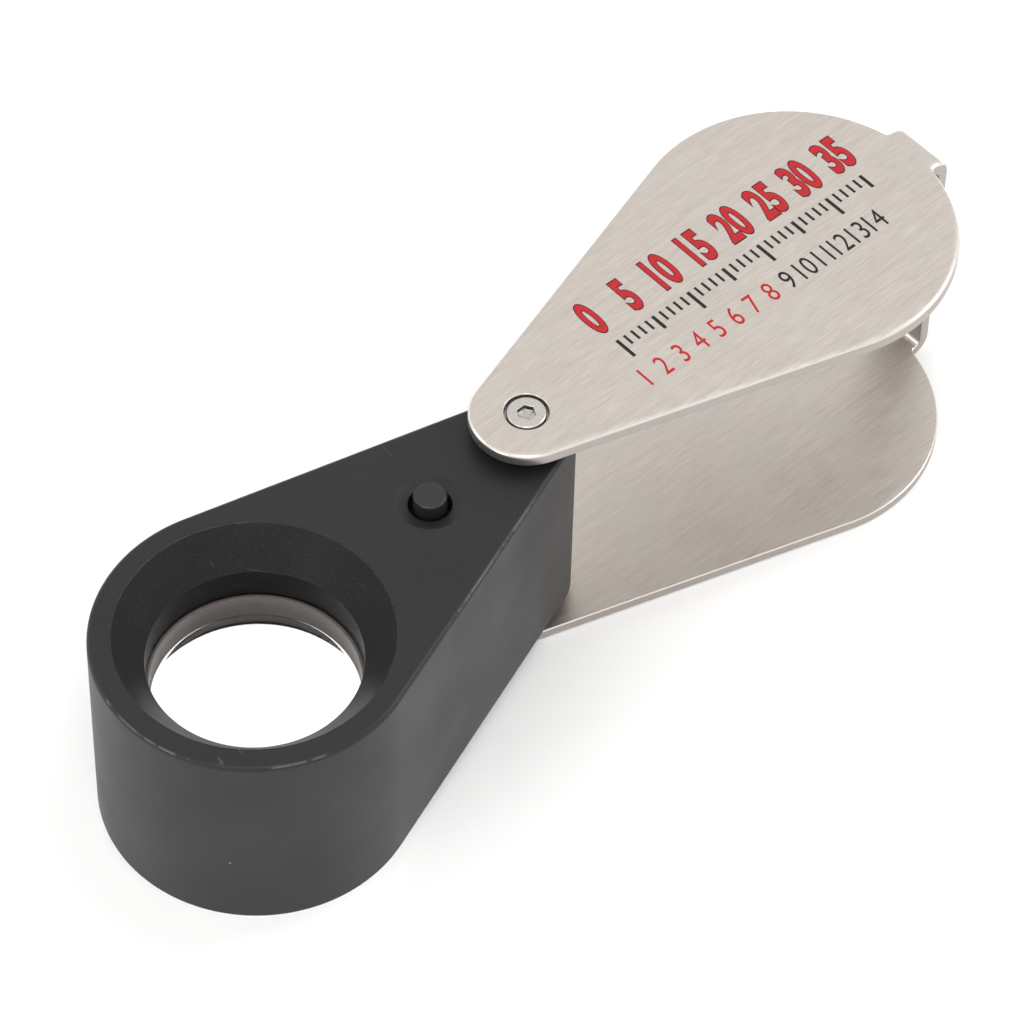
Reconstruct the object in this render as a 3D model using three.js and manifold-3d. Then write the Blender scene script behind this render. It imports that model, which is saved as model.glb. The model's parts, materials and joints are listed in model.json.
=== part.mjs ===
// Folding illuminated loupe: a black metal body with a triplet lens and a ring of lights,
// swinging on two screws inside a U-shaped stainless cover. Millimetres, +Z up.
// Pivot axis: x = 0, y = 0. The body's underside is z = 0, and its lens lies towards -X.

import * as THREE from 'three';
import { mergeVertices } from 'three/addons/utils/BufferGeometryUtils.js';
import Module from 'manifold-3d';

const wasm = await Module();
wasm.setup();

// ---------------------------------------------------------------- driving dimensions

const BODY_H = 25.4;            // height of the body
const BODY_WIDE_R = 16.6;       // round end over the lens
const BODY_NARROW_R = 5.2;      // round end at the pivot
const LENS_X = -38;             // lens axis, measured from the pivot
const BODY_EDGE = 0.6;          // rounding of the body's outer edges

const CUP_R = 14.2;             // eyepiece countersink at the top face
const CUP_DEPTH = 4;
const BORE_R = 11;              // straight bore below the countersink
const BORE_FLOOR = 17.9;        // shoulder that the lens barrel stops at
const BARREL_POCKET_R = 12.5;

const COVER_GAP = 1.3;          // air between the body and each plate
const SHEET = 1.5;              // cover sheet
const COVER_WIDE_R = 17.3;
const COVER_NARROW_R = 6;
const COVER_L = 38;             // pivot to the centre of the plate's wide end
const COVER_ANGLE = THREE.MathUtils.degToRad(-2.8);
const SHEET_EDGE = 0.35;        // rolled edge of the sheet
const WEB_OUTER_X = 57.7;       // outer face of the web that joins the plates
const WEB_HALF_W = 3.4;
const BEND_R = 2.3;             // outer radius of the two bends

const SCREW_HEAD_R = 2.1;
const SCREW_HEAD_H = 0.85;
const SEAT_R = 2.35;            // round seat of the screw head in the plate
const SEAT_DEPTH = 1;
const SHOULDER_R = 1.5;
const PIVOT_HOLE_R = 1.65;
const THREAD_R = 1.15;
const THREAD_DEPTH = 6.5;
const WASHER_R = 3.5;

const BUTTON_X = -13.7;
const BUTTON_R = 1.75;
const BUTTON_HOLE_R = 2.25;
const BUTTON_RISE = 1.1;        // how far the cap stands above the top face
const DISH_R = 3.6;             // shallow dish round the button
const DISH_DEPTH = 0.7;

const BASE_DEPTH = 1.3;         // recess for the base plate
const BASE_INSET = 1;
const BASE_END_X = -4.2;
const LIGHT_WELL_R = 15.2;      // round well for the lights, in the underside
const LIGHT_WELL_H = 7.5;

const POCKET_X = [-8, -21.8];   // electronics pocket, its narrow and wide ends
const POCKET_TOP = 22.8;
const POCKET_WALL = 1.9;
const WIRE_PASSAGE_TOP = 10.5;  // opening between the light well and the pocket

const LENS_R = 11;              // the 22 mm triplet
const LENS_EDGE_TOP = 14.4;     // height of the front element's rim
const FRONT_CURVE = 24;         // outer glass radius
const INNER_CURVE = 17;         // cemented glass radius
const FLINT_EDGE = 2.57;        // rim thickness of the two outer elements
const CROWN_EDGE = 0.8;
const CEMENT = 0.05;            // layer between two elements

const BOARD_Z = 16;             // underside of the main board
const BOARD_T = 1;
const WIRE_R = 0.4;
const CLEAR = 0.3;              // gap between pieces that nearly touch
const FINE = 64;                // facets of a large circle
const SMALL = 32;               // facets of a small circle
const LENS_FACETS = 48;
const OUTLINE_FACETS = 18;      // half the facets of an outline's round end

// ---------------------------------------------------------------- solids

// Turns a closed geometry into a solid that can be cut and joined.
function solid(geometry) {
  const bare = geometry.index ? geometry.toNonIndexed() : geometry.clone();
  bare.deleteAttribute('normal');
  bare.deleteAttribute('uv');
  const merged = mergeVertices(bare, 1e-4);
  const mesh = new wasm.Mesh({
    numProp: 3,
    vertProperties: new Float32Array(merged.attributes.position.array),
    triVerts: new Uint32Array(merged.index.array),
  });
  return new wasm.Manifold(mesh);
}

// Turns a solid back into a geometry.
function geometryOf(body) {
  const mesh = body.getMesh();
  const geometry = new THREE.BufferGeometry();
  geometry.setAttribute('position', new THREE.BufferAttribute(new Float32Array(mesh.vertProperties), 3));
  geometry.setIndex(new THREE.BufferAttribute(new Uint32Array(mesh.triVerts), 1));
  geometry.computeVertexNormals();
  return geometry;
}

// Round bar from z0 to z1.
function barGeometry(radius, z0, z1, x = 0, y = 0, sides = SMALL) {
  const geometry = new THREE.CylinderGeometry(radius, radius, z1 - z0, sides);
  geometry.rotateX(Math.PI / 2);
  geometry.translate(x, y, (z0 + z1) / 2);
  return geometry;
}

function bar(...sizes) {
  return solid(barGeometry(...sizes));
}

// Box between two corners.
function boxGeometry(low, high) {
  const size = high.map((value, i) => value - low[i]);
  const geometry = new THREE.BoxGeometry(...size);
  geometry.translate(...low.map((value, i) => value + size[i] / 2));
  return geometry;
}

function box(low, high) {
  return solid(boxGeometry(low, high));
}

// Turned piece about a vertical axis. Points are [radius, z], up the outside and down the inside.
function turnedGeometry(points, x = 0, sides = FINE) {
  const profile = points.map(([radius, z]) => new THREE.Vector2(radius, z));
  const geometry = new THREE.LatheGeometry(profile, sides);
  geometry.rotateX(Math.PI / 2);
  geometry.translate(x, 0, 0);
  return geometry;
}

function turned(...arguments_) {
  return solid(turnedGeometry(...arguments_));
}

// Square-section ring.
function ring(outer, inner, z0, z1, x = 0, sides = FINE) {
  return turned([[outer, z0], [outer, z1], [inner, z1], [inner, z0], [outer, z0]], x, sides);
}

// Points [radius, z] on a lens face: a sphere through the axis at apex, curving by bend (+1 domes up).
function lensFace(curve, apex, bend) {
  const steps = 6;
  const points = [];
  for (let i = 0; i <= steps; i += 1) {
    const radius = (LENS_R * i) / steps;
    const sag = curve - Math.sqrt(curve * curve - radius * radius);
    points.push([radius, apex - bend * sag]);
  }
  return points;
}

// ---------------------------------------------------------------- outlines

// Angle by which a teardrop's straight sides lean.
function leanOf(narrowR, wideR, distance) {
  return Math.asin((wideR - narrowR) / Math.abs(distance));
}

// Teardrop: a small circle at the pivot and a large one at x = distance, joined by straight sides.
function teardrop(narrowR, wideR, distance) {
  const side = Math.PI / 2 + leanOf(narrowR, wideR, distance);
  const turn = distance < 0 ? Math.PI : 0;
  const shape = new THREE.Shape();
  shape.absarc(distance, 0, wideR, turn - side, turn + side);
  shape.absarc(0, 0, narrowR, turn + side, turn + 2 * Math.PI - side);
  shape.closePath();
  return shape;
}

// Slab of an outline from z0 to z1, its edges rounded by the bevel.
function slab(shape, z0, z1, bevel = 0) {
  const geometry = new THREE.ExtrudeGeometry(shape, {
    depth: z1 - z0 - 2 * bevel,
    bevelEnabled: bevel > 0,
    bevelThickness: bevel,
    bevelSize: bevel,
    bevelOffset: -bevel,
    bevelSegments: 3,
    curveSegments: OUTLINE_FACETS,
  });
  geometry.translate(0, 0, z0 + bevel);
  return solid(geometry);
}

// Half width of the body at x.
function bodyHalfWidth(x) {
  const lean = leanOf(BODY_NARROW_R, BODY_WIDE_R, LENS_X);
  return (BODY_NARROW_R + Math.abs(x) * Math.sin(lean)) / Math.cos(lean);
}

// Four-sided outline that follows the body's sides between two x values, set in by wall.
function wedge(nearX, farX, wall) {
  const near = bodyHalfWidth(nearX) - wall;
  const far = bodyHalfWidth(farX) - wall;
  const shape = new THREE.Shape();
  shape.moveTo(nearX, -near);
  shape.lineTo(nearX, near);
  shape.lineTo(farX, far);
  shape.lineTo(farX, -far);
  shape.closePath();
  return shape;
}

// Underside plate: the body's outline set in, cut off square before the pivot.
function baseOutline(inset, endX) {
  const lean = leanOf(BODY_NARROW_R, BODY_WIDE_R, LENS_X);
  const wide = BODY_WIDE_R - inset;
  const side = Math.PI / 2 + lean;
  const half = bodyHalfWidth(endX) - inset / Math.cos(lean);
  const shape = new THREE.Shape();
  shape.moveTo(endX, -half);
  shape.lineTo(endX, half);
  shape.absarc(LENS_X, 0, wide, Math.PI - side, Math.PI + side);
  shape.closePath();
  return shape;
}

// ---------------------------------------------------------------- pieces

const pieces = { cover: [], loupe: [] };

// Names a solid, gives it its material and files it under the half of the object it belongs to.
function add(half, name, body, material) {
  const geometry = body instanceof THREE.BufferGeometry ? body : geometryOf(body);
  const mesh = new THREE.Mesh(geometry, material);
  mesh.name = name;
  pieces[half].push(mesh);
  return mesh;
}

function metal(color, roughness) {
  return new THREE.MeshStandardMaterial({ color, roughness, metalness: 1 });
}

function dull(color, roughness) {
  return new THREE.MeshStandardMaterial({ color, roughness, metalness: 0 });
}

const stainless = () => metal('#cfc5bd', 0.38);
const screwSteel = () => metal('#d6d0ca', 0.25);
const anodised = () => metal('#434345', 0.5);
const blackPlastic = () => dull('#2b2b2d', 0.45);
const glass = () => dull('#e9edef', 0.03);
const frosted = () => dull('#f4f4f0', 0.5);
const solderMask = () => dull('#1c5a3a', 0.4);
const wireCover = (color) => dull(color, 0.5);

const PLATE_TOP = BODY_H + COVER_GAP + SHEET;
const PLATE_BOTTOM = -COVER_GAP - SHEET;

// Side view of the cover as a C of sheet, extruded across the web's width.
function coverStrip() {
  const inner = BEND_R - SHEET;
  const start = COVER_L;
  const outerX = WEB_OUTER_X;
  const innerX = WEB_OUTER_X - SHEET;
  const shape = new THREE.Shape();
  shape.moveTo(start, PLATE_BOTTOM);
  shape.absarc(outerX - BEND_R, PLATE_BOTTOM + BEND_R, BEND_R, -Math.PI / 2, 0);
  shape.absarc(outerX - BEND_R, PLATE_TOP - BEND_R, BEND_R, 0, Math.PI / 2);
  shape.lineTo(start, PLATE_TOP);
  shape.lineTo(start, PLATE_TOP - SHEET);
  shape.absarc(innerX - inner, PLATE_TOP - SHEET - inner, inner, Math.PI / 2, 0, true);
  shape.absarc(innerX - inner, PLATE_BOTTOM + SHEET + inner, inner, 0, -Math.PI / 2, true);
  shape.lineTo(start, PLATE_BOTTOM + SHEET);
  shape.closePath();
  const geometry = new THREE.ExtrudeGeometry(shape, {
    depth: 2 * WEB_HALF_W,
    bevelEnabled: false,
    curveSegments: 6,
  });
  geometry.rotateX(Math.PI / 2);
  geometry.translate(0, WEB_HALF_W, 0);
  return solid(geometry);
}

function coverShell() {
  const outline = teardrop(COVER_NARROW_R, COVER_WIDE_R, COVER_L);
  let shell = coverStrip();
  for (const top of [PLATE_TOP, PLATE_BOTTOM + SHEET]) {
    shell = shell.add(slab(outline, top - SHEET, top, SHEET_EDGE));
  }
  shell = shell.subtract(bar(PIVOT_HOLE_R, PLATE_BOTTOM - 1, PLATE_TOP + 1));
  shell = shell.subtract(bar(SEAT_R, PLATE_TOP - SEAT_DEPTH, PLATE_TOP + 1));
  shell = shell.subtract(bar(SEAT_R, PLATE_BOTTOM - 1, PLATE_BOTTOM + SEAT_DEPTH));
  add('cover', 'cover_shell', shell, stainless());
}

// Upper screw: flat rounded head, shoulder that the cover turns on, thread in the body.
function pivotScrewSolid() {
  const top = PLATE_TOP - 0.05;
  const headFloor = top - SCREW_HEAD_H;
  const round = 0.25;
  const screw = turned([
    [0, BODY_H - THREAD_DEPTH + CLEAR], [THREAD_R, BODY_H - THREAD_DEPTH + CLEAR],
    [THREAD_R, BODY_H + 0.1], [SHOULDER_R, BODY_H + 0.1], [SHOULDER_R, headFloor],
    [SCREW_HEAD_R, headFloor], [SCREW_HEAD_R, top - round],
    [SCREW_HEAD_R - 0.3 * round, top - 0.3 * round], [SCREW_HEAD_R - round, top], [0, top],
  ], 0, SMALL);
  const hexDepth = 0.6;
  const socket = turned([[0, top - hexDepth - 0.35], [1, top - hexDepth], [1, top + 1], [0, top + 1]], 0, 6);
  return screw.subtract(socket);
}

// Mirror image of a solid about the body's mid height.
function upsideDown(body) {
  const geometry = geometryOf(body);
  geometry.translate(0, 0, -BODY_H / 2);
  geometry.rotateX(Math.PI);
  geometry.translate(0, 0, BODY_H / 2);
  return geometry;
}

function pivotHardware() {
  const screw = pivotScrewSolid();
  add('loupe', 'upper_pivot_screw', screw, screwSteel());
  add('loupe', 'lower_pivot_screw', upsideDown(screw), screwSteel());
  const washer = ring(WASHER_R, PIVOT_HOLE_R, BODY_H + 0.1, BODY_H + COVER_GAP - 0.1, 0, SMALL);
  add('loupe', 'upper_washer', washer, blackPlastic());
  add('loupe', 'lower_washer', upsideDown(washer), blackPlastic());
}

// Charging port frame: its x axis points out of the body's far side wall.
const PORT_X = -17;
const PORT_LEAN = leanOf(BODY_NARROW_R, BODY_WIDE_R, LENS_X);
const PORT_Z = BOARD_Z + BOARD_T + 1.5;
const PORT_HALF_W = 3.75;
const PORT_HALF_H = 1.3;
const PORT_LENGTH = 5;

// Moves something from the port's frame to the body: mouth at x = 0, facing out through the wall.
function toPort(object) {
  const angle = Math.PI / 2 - PORT_LEAN;
  const matrix = new THREE.Matrix4().makeRotationZ(angle);
  matrix.setPosition(PORT_X, bodyHalfWidth(PORT_X), PORT_Z);
  object.applyMatrix4(matrix);
  return object;
}

const BASE_SCREWS = [[-6.2, 0], [-24, 10], [-24, -10]];

function bodyHousing() {
  const top = BODY_H + 1;
  let body = slab(teardrop(BODY_NARROW_R, BODY_WIDE_R, LENS_X), 0, BODY_H, BODY_EDGE);
  const cupFloor = BODY_H - CUP_DEPTH;
  const cupSlope = (CUP_R - BORE_R) / CUP_DEPTH;
  body = body.subtract(turned([
    [0, -1], [LIGHT_WELL_R, -1], [LIGHT_WELL_R, LIGHT_WELL_H], [BARREL_POCKET_R, LIGHT_WELL_H],
    [BARREL_POCKET_R, BORE_FLOOR], [BORE_R, BORE_FLOOR], [BORE_R, cupFloor],
    [CUP_R + cupSlope, top], [0, top],
  ], LENS_X));
  body = body.subtract(slab(baseOutline(BASE_INSET, BASE_END_X), -1, BASE_DEPTH));
  body = body.subtract(slab(wedge(...POCKET_X, POCKET_WALL), 0, POCKET_TOP));
  body = body.subtract(box([LENS_X + LIGHT_WELL_R - 2, -2.5, 0], [POCKET_X[1] + 1, 2.5, WIRE_PASSAGE_TOP]));
  body = body.subtract(turned(dishPoints(), BUTTON_X));
  body = body.subtract(bar(BUTTON_HOLE_R, POCKET_TOP - 1, top, BUTTON_X));
  const threadHole = THREAD_R + 0.2;
  body = body.subtract(bar(threadHole, BODY_H - THREAD_DEPTH, top));
  body = body.subtract(bar(threadHole, -1, THREAD_DEPTH));
  for (const [x, y] of BASE_SCREWS) body = body.subtract(bar(1, 0, 6, x, y, 16));
  const gap = 0.25;
  const slot = boxGeometry(
    [-PORT_LENGTH, -PORT_HALF_W - gap, -PORT_HALF_H - gap],
    [2, PORT_HALF_W + gap, PORT_HALF_H + gap],
  );
  body = body.subtract(solid(toPort(slot)));
  add('loupe', 'body_housing', body, anodised());
}

// Shallow spherical dish, as a turned cutter.
function dishPoints() {
  const curve = (DISH_R * DISH_R + DISH_DEPTH * DISH_DEPTH) / (2 * DISH_DEPTH);
  const steps = 6;
  const points = [];
  for (let i = 0; i <= steps; i += 1) {
    const radius = (DISH_R * i) / steps;
    points.push([radius, BODY_H - DISH_DEPTH + curve - Math.sqrt(curve * curve - radius * radius)]);
  }
  points.push([DISH_R, BODY_H + 1], [0, BODY_H + 1]);
  return points;
}

function basePlate() {
  const low = 0.05;
  const top = BASE_DEPTH - 0.15;
  let plate = slab(baseOutline(BASE_INSET + 0.15, BASE_END_X - 0.15), low, top);
  plate = plate.subtract(bar(LIGHT_WELL_R - 1.2, -1, 3, LENS_X, 0, FINE));
  const headR = 1.45;
  BASE_SCREWS.forEach(([x, y], i) => {
    plate = plate.subtract(bar(headR + 0.2, -1, 0.65, x, y, 24));
    plate = plate.subtract(bar(0.95, 0, 2, x, y, 16));
    const head = bar(headR, 0.1, 0.6, x, y, 24);
    const shank = bar(0.75, 0.5, 5.4, x, y, 16);
    const crossA = box([x - 0.85, y - 0.15, -1], [x + 0.85, y + 0.15, 0.4]);
    const crossB = box([x - 0.15, y - 0.85, -1], [x + 0.15, y + 0.85, 0.4]);
    const screw = head.add(shank).subtract(crossA).subtract(crossB);
    add('loupe', `base_screw_${i + 1}`, screw, screwSteel());
  });
  add('loupe', 'base_plate', plate, blackPlastic());
}

const CROWN_TOP = LENS_EDGE_TOP - FLINT_EDGE - CEMENT;
const CROWN_BOTTOM = CROWN_TOP - CROWN_EDGE;
const LENS_EDGE_BOTTOM = CROWN_BOTTOM - CEMENT - FLINT_EDGE;

// Height of a lens face above its rim.
function sagAtRim(curve) {
  return curve - Math.sqrt(curve * curve - LENS_R * LENS_R);
}

// One glass element between two faces, both given from the axis outwards.
function element(name, lower, upper) {
  const geometry = turnedGeometry([...lower, ...upper.reverse()], LENS_X, LENS_FACETS);
  add('loupe', name, solid(geometry), glass());
}

function triplet() {
  const outerSag = sagAtRim(FRONT_CURVE);
  const innerSag = sagAtRim(INNER_CURVE);
  const frontFlintFloor = CROWN_TOP + CEMENT;
  element('lens_front_element',
    lensFace(INNER_CURVE, frontFlintFloor + innerSag, 1),
    lensFace(FRONT_CURVE, LENS_EDGE_TOP + outerSag, 1));
  element('lens_middle_element',
    lensFace(INNER_CURVE, CROWN_BOTTOM - innerSag, -1),
    lensFace(INNER_CURVE, CROWN_TOP + innerSag, 1));
  element('lens_rear_element',
    lensFace(FRONT_CURVE, LENS_EDGE_BOTTOM - outerSag, -1),
    lensFace(INNER_CURVE, CROWN_BOTTOM - CEMENT - innerSag, -1));
}

const BARREL_R = BARREL_POCKET_R - CLEAR;
const BARREL_INNER_R = LENS_R + 0.25;
const BARREL_TOP = BORE_FLOOR - 0.2;
const SEAT_LIP_R = 10.7;
const BARREL_FLOOR = LENS_EDGE_BOTTOM - CLEAR;

function lensMount() {
  const lipFloor = BARREL_FLOOR - 0.9;
  add('loupe', 'lens_barrel', turned([
    [BARREL_R, lipFloor], [BARREL_R, BARREL_TOP], [BARREL_INNER_R, BARREL_TOP],
    [BARREL_INNER_R, BARREL_FLOOR], [SEAT_LIP_R, BARREL_FLOOR], [SEAT_LIP_R, lipFloor], [BARREL_R, lipFloor],
  ], LENS_X), blackPlastic());
  const retainer = ring(LENS_R + 0.1, SEAT_LIP_R, LENS_EDGE_TOP + CLEAR, BARREL_TOP - 0.1, LENS_X);
  add('loupe', 'lens_retaining_ring', retainer, metal('#6a5f58', 0.35));
}

const GUIDE_TOP = BARREL_FLOOR - 0.9 - CLEAR;
const GUIDE_FLOOR = BASE_DEPTH;
const FLANGE_TOP = GUIDE_FLOOR + 1.2;

function lights() {
  add('loupe', 'light_guide', turned([
    [LIGHT_WELL_R - CLEAR, GUIDE_FLOOR], [LIGHT_WELL_R - CLEAR, FLANGE_TOP], [12.6, FLANGE_TOP],
    [12.6, GUIDE_TOP], [11.3, GUIDE_TOP], [11.8, GUIDE_FLOOR], [LIGHT_WELL_R - CLEAR, GUIDE_FLOOR],
  ], LENS_X), frosted());
  const boardTop = LIGHT_WELL_H - 0.4;
  const boardFloor = boardTop - 0.8;
  const board = ring(LIGHT_WELL_R - CLEAR, 12.9, boardFloor, boardTop, LENS_X);
  add('loupe', 'led_board', board, dull('#f0efe9', 0.5));
  const colours = ['#f5e27a', '#f5e27a', '#f3d35a', '#cfc6ff'];
  colours.forEach((color, i) => {
    const angle = Math.PI / 4 + (i * Math.PI) / 2;
    const size = new THREE.BoxGeometry(1.6, 2.8, 1.3);
    const mesh = add('loupe', `led_${i + 1}`, size, dull(color, 0.35));
    mesh.position.set(LENS_X + 13.9 * Math.cos(angle), 13.9 * Math.sin(angle), boardFloor - 0.75);
    mesh.rotation.z = angle;
  });
}

const SWITCH_TOP = 20.4;

function buttonParts() {
  const capTop = BODY_H + BUTTON_RISE;
  const flangeTop = POCKET_TOP - CLEAR;
  const edge = 0.3;
  add('loupe', 'button_cap', turned([
    [0, flangeTop - 0.8], [BUTTON_HOLE_R + 0.4, flangeTop - 0.8], [BUTTON_HOLE_R + 0.4, flangeTop],
    [BUTTON_R, flangeTop], [BUTTON_R, capTop - edge], [BUTTON_R - 0.3 * edge, capTop - 0.3 * edge],
    [BUTTON_R - edge, capTop], [0, capTop],
  ], BUTTON_X, SMALL), blackPlastic());
  const plungerTop = flangeTop - 0.9;
  const well = SWITCH_TOP - 1.2;
  add('loupe', 'switch_plunger', bar(1.2, well + 0.6, plungerTop, BUTTON_X, 0, 24), dull('#d8d4c8', 0.5));
  const half = 2.6;
  const floor = BOARD_Z + BOARD_T + 0.05;
  const housing = box([BUTTON_X - half, -half, floor], [BUTTON_X + half, half, SWITCH_TOP])
    .subtract(bar(1.7, well - 0.4, SWITCH_TOP + 1, BUTTON_X, 0, 24));
  add('loupe', 'switch_housing', housing, blackPlastic());
  const dome = turned([
    [0, well], [0.8, well - 0.08], [1.5, well - 0.35],
    [1.5, well - 0.25], [0.8, well + 0.04], [0, well + 0.12],
  ], BUTTON_X, 24);
  add('loupe', 'switch_dome', dome, screwSteel());
}

function electronics() {
  const outline = wedge(POCKET_X[0] - 0.5, POCKET_X[1] + 0.5, POCKET_WALL + 0.4);
  add('loupe', 'main_board', slab(outline, BOARD_Z, BOARD_Z + BOARD_T), solderMask());
  const cell = new THREE.Shape();
  const cellX = [POCKET_X[0] - 1.2, POCKET_X[1] + 2.2];
  cell.moveTo(cellX[0], -5.6);
  cell.lineTo(cellX[0], 5.6);
  cell.lineTo(cellX[1], 5.6);
  cell.lineTo(cellX[1], -5.6);
  cell.closePath();
  add('loupe', 'battery_cell', slab(cell, 2.2, 11.2, 0.8), metal('#b9bcc0', 0.35));
}

// Charging port: a folded steel shell with the contact tongue inside it.
function chargingPort() {
  const wall = 0.3;
  const inset = 0.35;
  const back = -PORT_LENGTH + 0.3;
  const outer = boxGeometry([back, -PORT_HALF_W, -PORT_HALF_H], [-inset, PORT_HALF_W, PORT_HALF_H]);
  const inner = boxGeometry(
    [back + 0.6, -PORT_HALF_W + wall, -PORT_HALF_H + wall],
    [1, PORT_HALF_W - wall, PORT_HALF_H - wall],
  );
  const shell = solid(toPort(outer)).subtract(solid(toPort(inner)));
  add('loupe', 'usb_socket', shell, screwSteel());
  const tongue = boxGeometry([back + 0.7, -2.6, -0.3], [-1.2, 2.6, 0.3]);
  add('loupe', 'usb_tongue', solid(toPort(tongue)), blackPlastic());
}

// Insulated wire through the given points.
function wire(name, points, color) {
  const path = new THREE.CatmullRomCurve3(points.map((point) => new THREE.Vector3(...point)));
  const section = new THREE.Shape();
  section.absarc(0, 0, WIRE_R, 0, 2 * Math.PI);
  const geometry = new THREE.ExtrudeGeometry(section, {
    steps: 12,
    curveSegments: 4,
    bevelEnabled: false,
    extrudePath: path,
  });
  add('loupe', name, solid(geometry), wireCover(color));
}

function wires() {
  const boardFloor = BOARD_Z - 0.2;
  const cellTop = 11.4;
  const leadStart = LIGHT_WELL_H - 0.1;
  for (const [side, word, color] of [[1, 'red', '#b3261e'], [-1, 'black', '#1d1d1f']]) {
    wire(`battery_lead_${word}`, [
      [-10.5, 3.4 * side, cellTop], [-10.2, 3.5 * side, 12.6],
      [-11.2, 3.9 * side, 14.2], [-11.2, 3.9 * side, boardFloor],
    ], color);
    wire(`led_lead_${word}`, [
      [LENS_X + 14.3, 1.3 * side, leadStart], [-22.6, 1.5 * side, 8.6], [-20.8, 1.6 * side, 10.6],
      [-20.4, 1.6 * side, 13], [-20.4, 1.6 * side, boardFloor],
    ], color);
  }
}

// ---------------------------------------------------------------- assembly

coverShell();
pivotHardware();
bodyHousing();
basePlate();
triplet();
lensMount();
lights();
buttonParts();
electronics();
chargingPort();
wires();

const cover = new THREE.Group();
cover.add(...pieces.cover);
cover.rotation.z = COVER_ANGLE;

const loupe = new THREE.Group();
loupe.add(...pieces.loupe);

const assembly = new THREE.Group();
assembly.add(cover, loupe);

// The origin is the middle of the object's box, on the surface it stands on.
assembly.updateMatrixWorld(true);
const bounds = new THREE.Box3().setFromObject(assembly, true);
const centre = bounds.getCenter(new THREE.Vector3());
assembly.position.set(-centre.x, -centre.y, -bounds.min.z);

const model = new THREE.Group();
model.add(assembly);

export default model;
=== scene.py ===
# %% [markdown]
# # A folding illuminated loupe
# A jeweller's loupe is two things on one axis: a black metal body that holds a triplet lens, and
# a bent steel cover that swings round it on two screws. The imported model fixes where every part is
# and how it moves. This script loads it, then gives each part that shows its real surface.

# %% Load the frame
import json
import math

import bmesh
import bpy
import numpy as np
from mathutils import Matrix, Vector
from mathutils.geometry import tessellate_polygon


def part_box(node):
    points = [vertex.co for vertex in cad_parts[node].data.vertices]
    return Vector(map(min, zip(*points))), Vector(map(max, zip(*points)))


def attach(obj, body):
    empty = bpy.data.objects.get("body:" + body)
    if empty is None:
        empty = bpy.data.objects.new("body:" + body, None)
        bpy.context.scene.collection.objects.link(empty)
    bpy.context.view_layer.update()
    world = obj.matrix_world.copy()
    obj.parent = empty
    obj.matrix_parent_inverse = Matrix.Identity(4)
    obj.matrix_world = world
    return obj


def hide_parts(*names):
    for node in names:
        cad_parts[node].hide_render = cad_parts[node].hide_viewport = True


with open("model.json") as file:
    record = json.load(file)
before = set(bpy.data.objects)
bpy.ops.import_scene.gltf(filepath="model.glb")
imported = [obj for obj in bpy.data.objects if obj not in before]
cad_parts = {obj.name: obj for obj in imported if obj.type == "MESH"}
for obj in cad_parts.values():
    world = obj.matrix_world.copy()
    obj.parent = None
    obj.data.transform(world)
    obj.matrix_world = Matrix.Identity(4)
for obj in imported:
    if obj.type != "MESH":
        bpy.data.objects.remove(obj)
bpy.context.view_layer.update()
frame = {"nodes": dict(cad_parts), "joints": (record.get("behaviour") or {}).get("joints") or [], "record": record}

MM = 0.001

# %% [markdown]
# The pieces are drawn in two frames of their own, in millimetres. The body's frame has the pivot
# at its origin and the lens towards -X, with its underside at height 0. The cover's frame is the
# same, but turned about the pivot by the angle that the cover stands open, so that its wide end
# lies along +X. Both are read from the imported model, so nothing is fitted by eye.

# %% Where the two halves are
hinge = next(joint for joint in frame["joints"] if joint["name"] == "cover_hinge")
body_low, body_high = (np.array(corner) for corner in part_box("body_housing"))
origin = np.array([hinge["pos_m"][0], hinge["pos_m"][1], body_low[2]])
cover_mount = next(m for m in frame["record"]["mounts"] if m["name"] == "cover_face")
along_cover = np.array(cover_mount["pos_m"]) - origin
COVER_TURN = math.atan2(along_cover[1], along_cover[0])
COVER_L = math.hypot(along_cover[0], along_cover[1]) / MM
BODY_H = (body_high[2] - body_low[2]) / MM
print("body", round(BODY_H, 2), "mm high, cover turned", round(math.degrees(COVER_TURN), 2), "degrees")


def placed(points, turn=0.0):
    """Millimetres in a half's own frame to metres in the row frame: turn about the pivot, then shift."""
    points = np.asarray(points, float)
    c, s = math.cos(turn), math.sin(turn)
    x, y, z = points[..., 0], points[..., 1], points[..., 2]
    return origin + MM * np.stack([c * x - s * y, s * x + c * y, z], -1)


def heights(node):
    """Lowest and highest point of a CAD node, in millimetres above the body's underside."""
    low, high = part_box(node)
    return (low[2] - origin[2]) / MM, (high[2] - origin[2]) / MM


# %% [markdown]
# ## Camera
# The camera comes first, so that every later choice is judged from one place. It looks down from
# the lens side with a long lens, as a product picture is taken, which keeps the sides nearly
# parallel. Three directions at right angles, worked out from azimuth, elevation and roll, are
# the columns of the camera's rotation matrix.

# %% Camera
AIM = (6.04, 7.52, 0.0)             # millimetres, in the body's frame
AZIMUTH, ELEVATION, ROLL = (math.radians(angle) for angle in (-45.95, 51.09, 1.54))
DISTANCE = 563.2
FOCAL, SENSOR = 184.73, 36.0

back = np.array([math.sin(AZIMUTH) * math.cos(ELEVATION),
                 -math.cos(AZIMUTH) * math.cos(ELEVATION),
                 math.sin(ELEVATION)])
level_right = np.array([math.cos(AZIMUTH), math.sin(AZIMUTH), 0.0])
level_up = np.cross(back, level_right)
rolled_right = math.cos(ROLL) * level_right + math.sin(ROLL) * level_up
rolled_up = math.cos(ROLL) * level_up - math.sin(ROLL) * level_right

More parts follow.
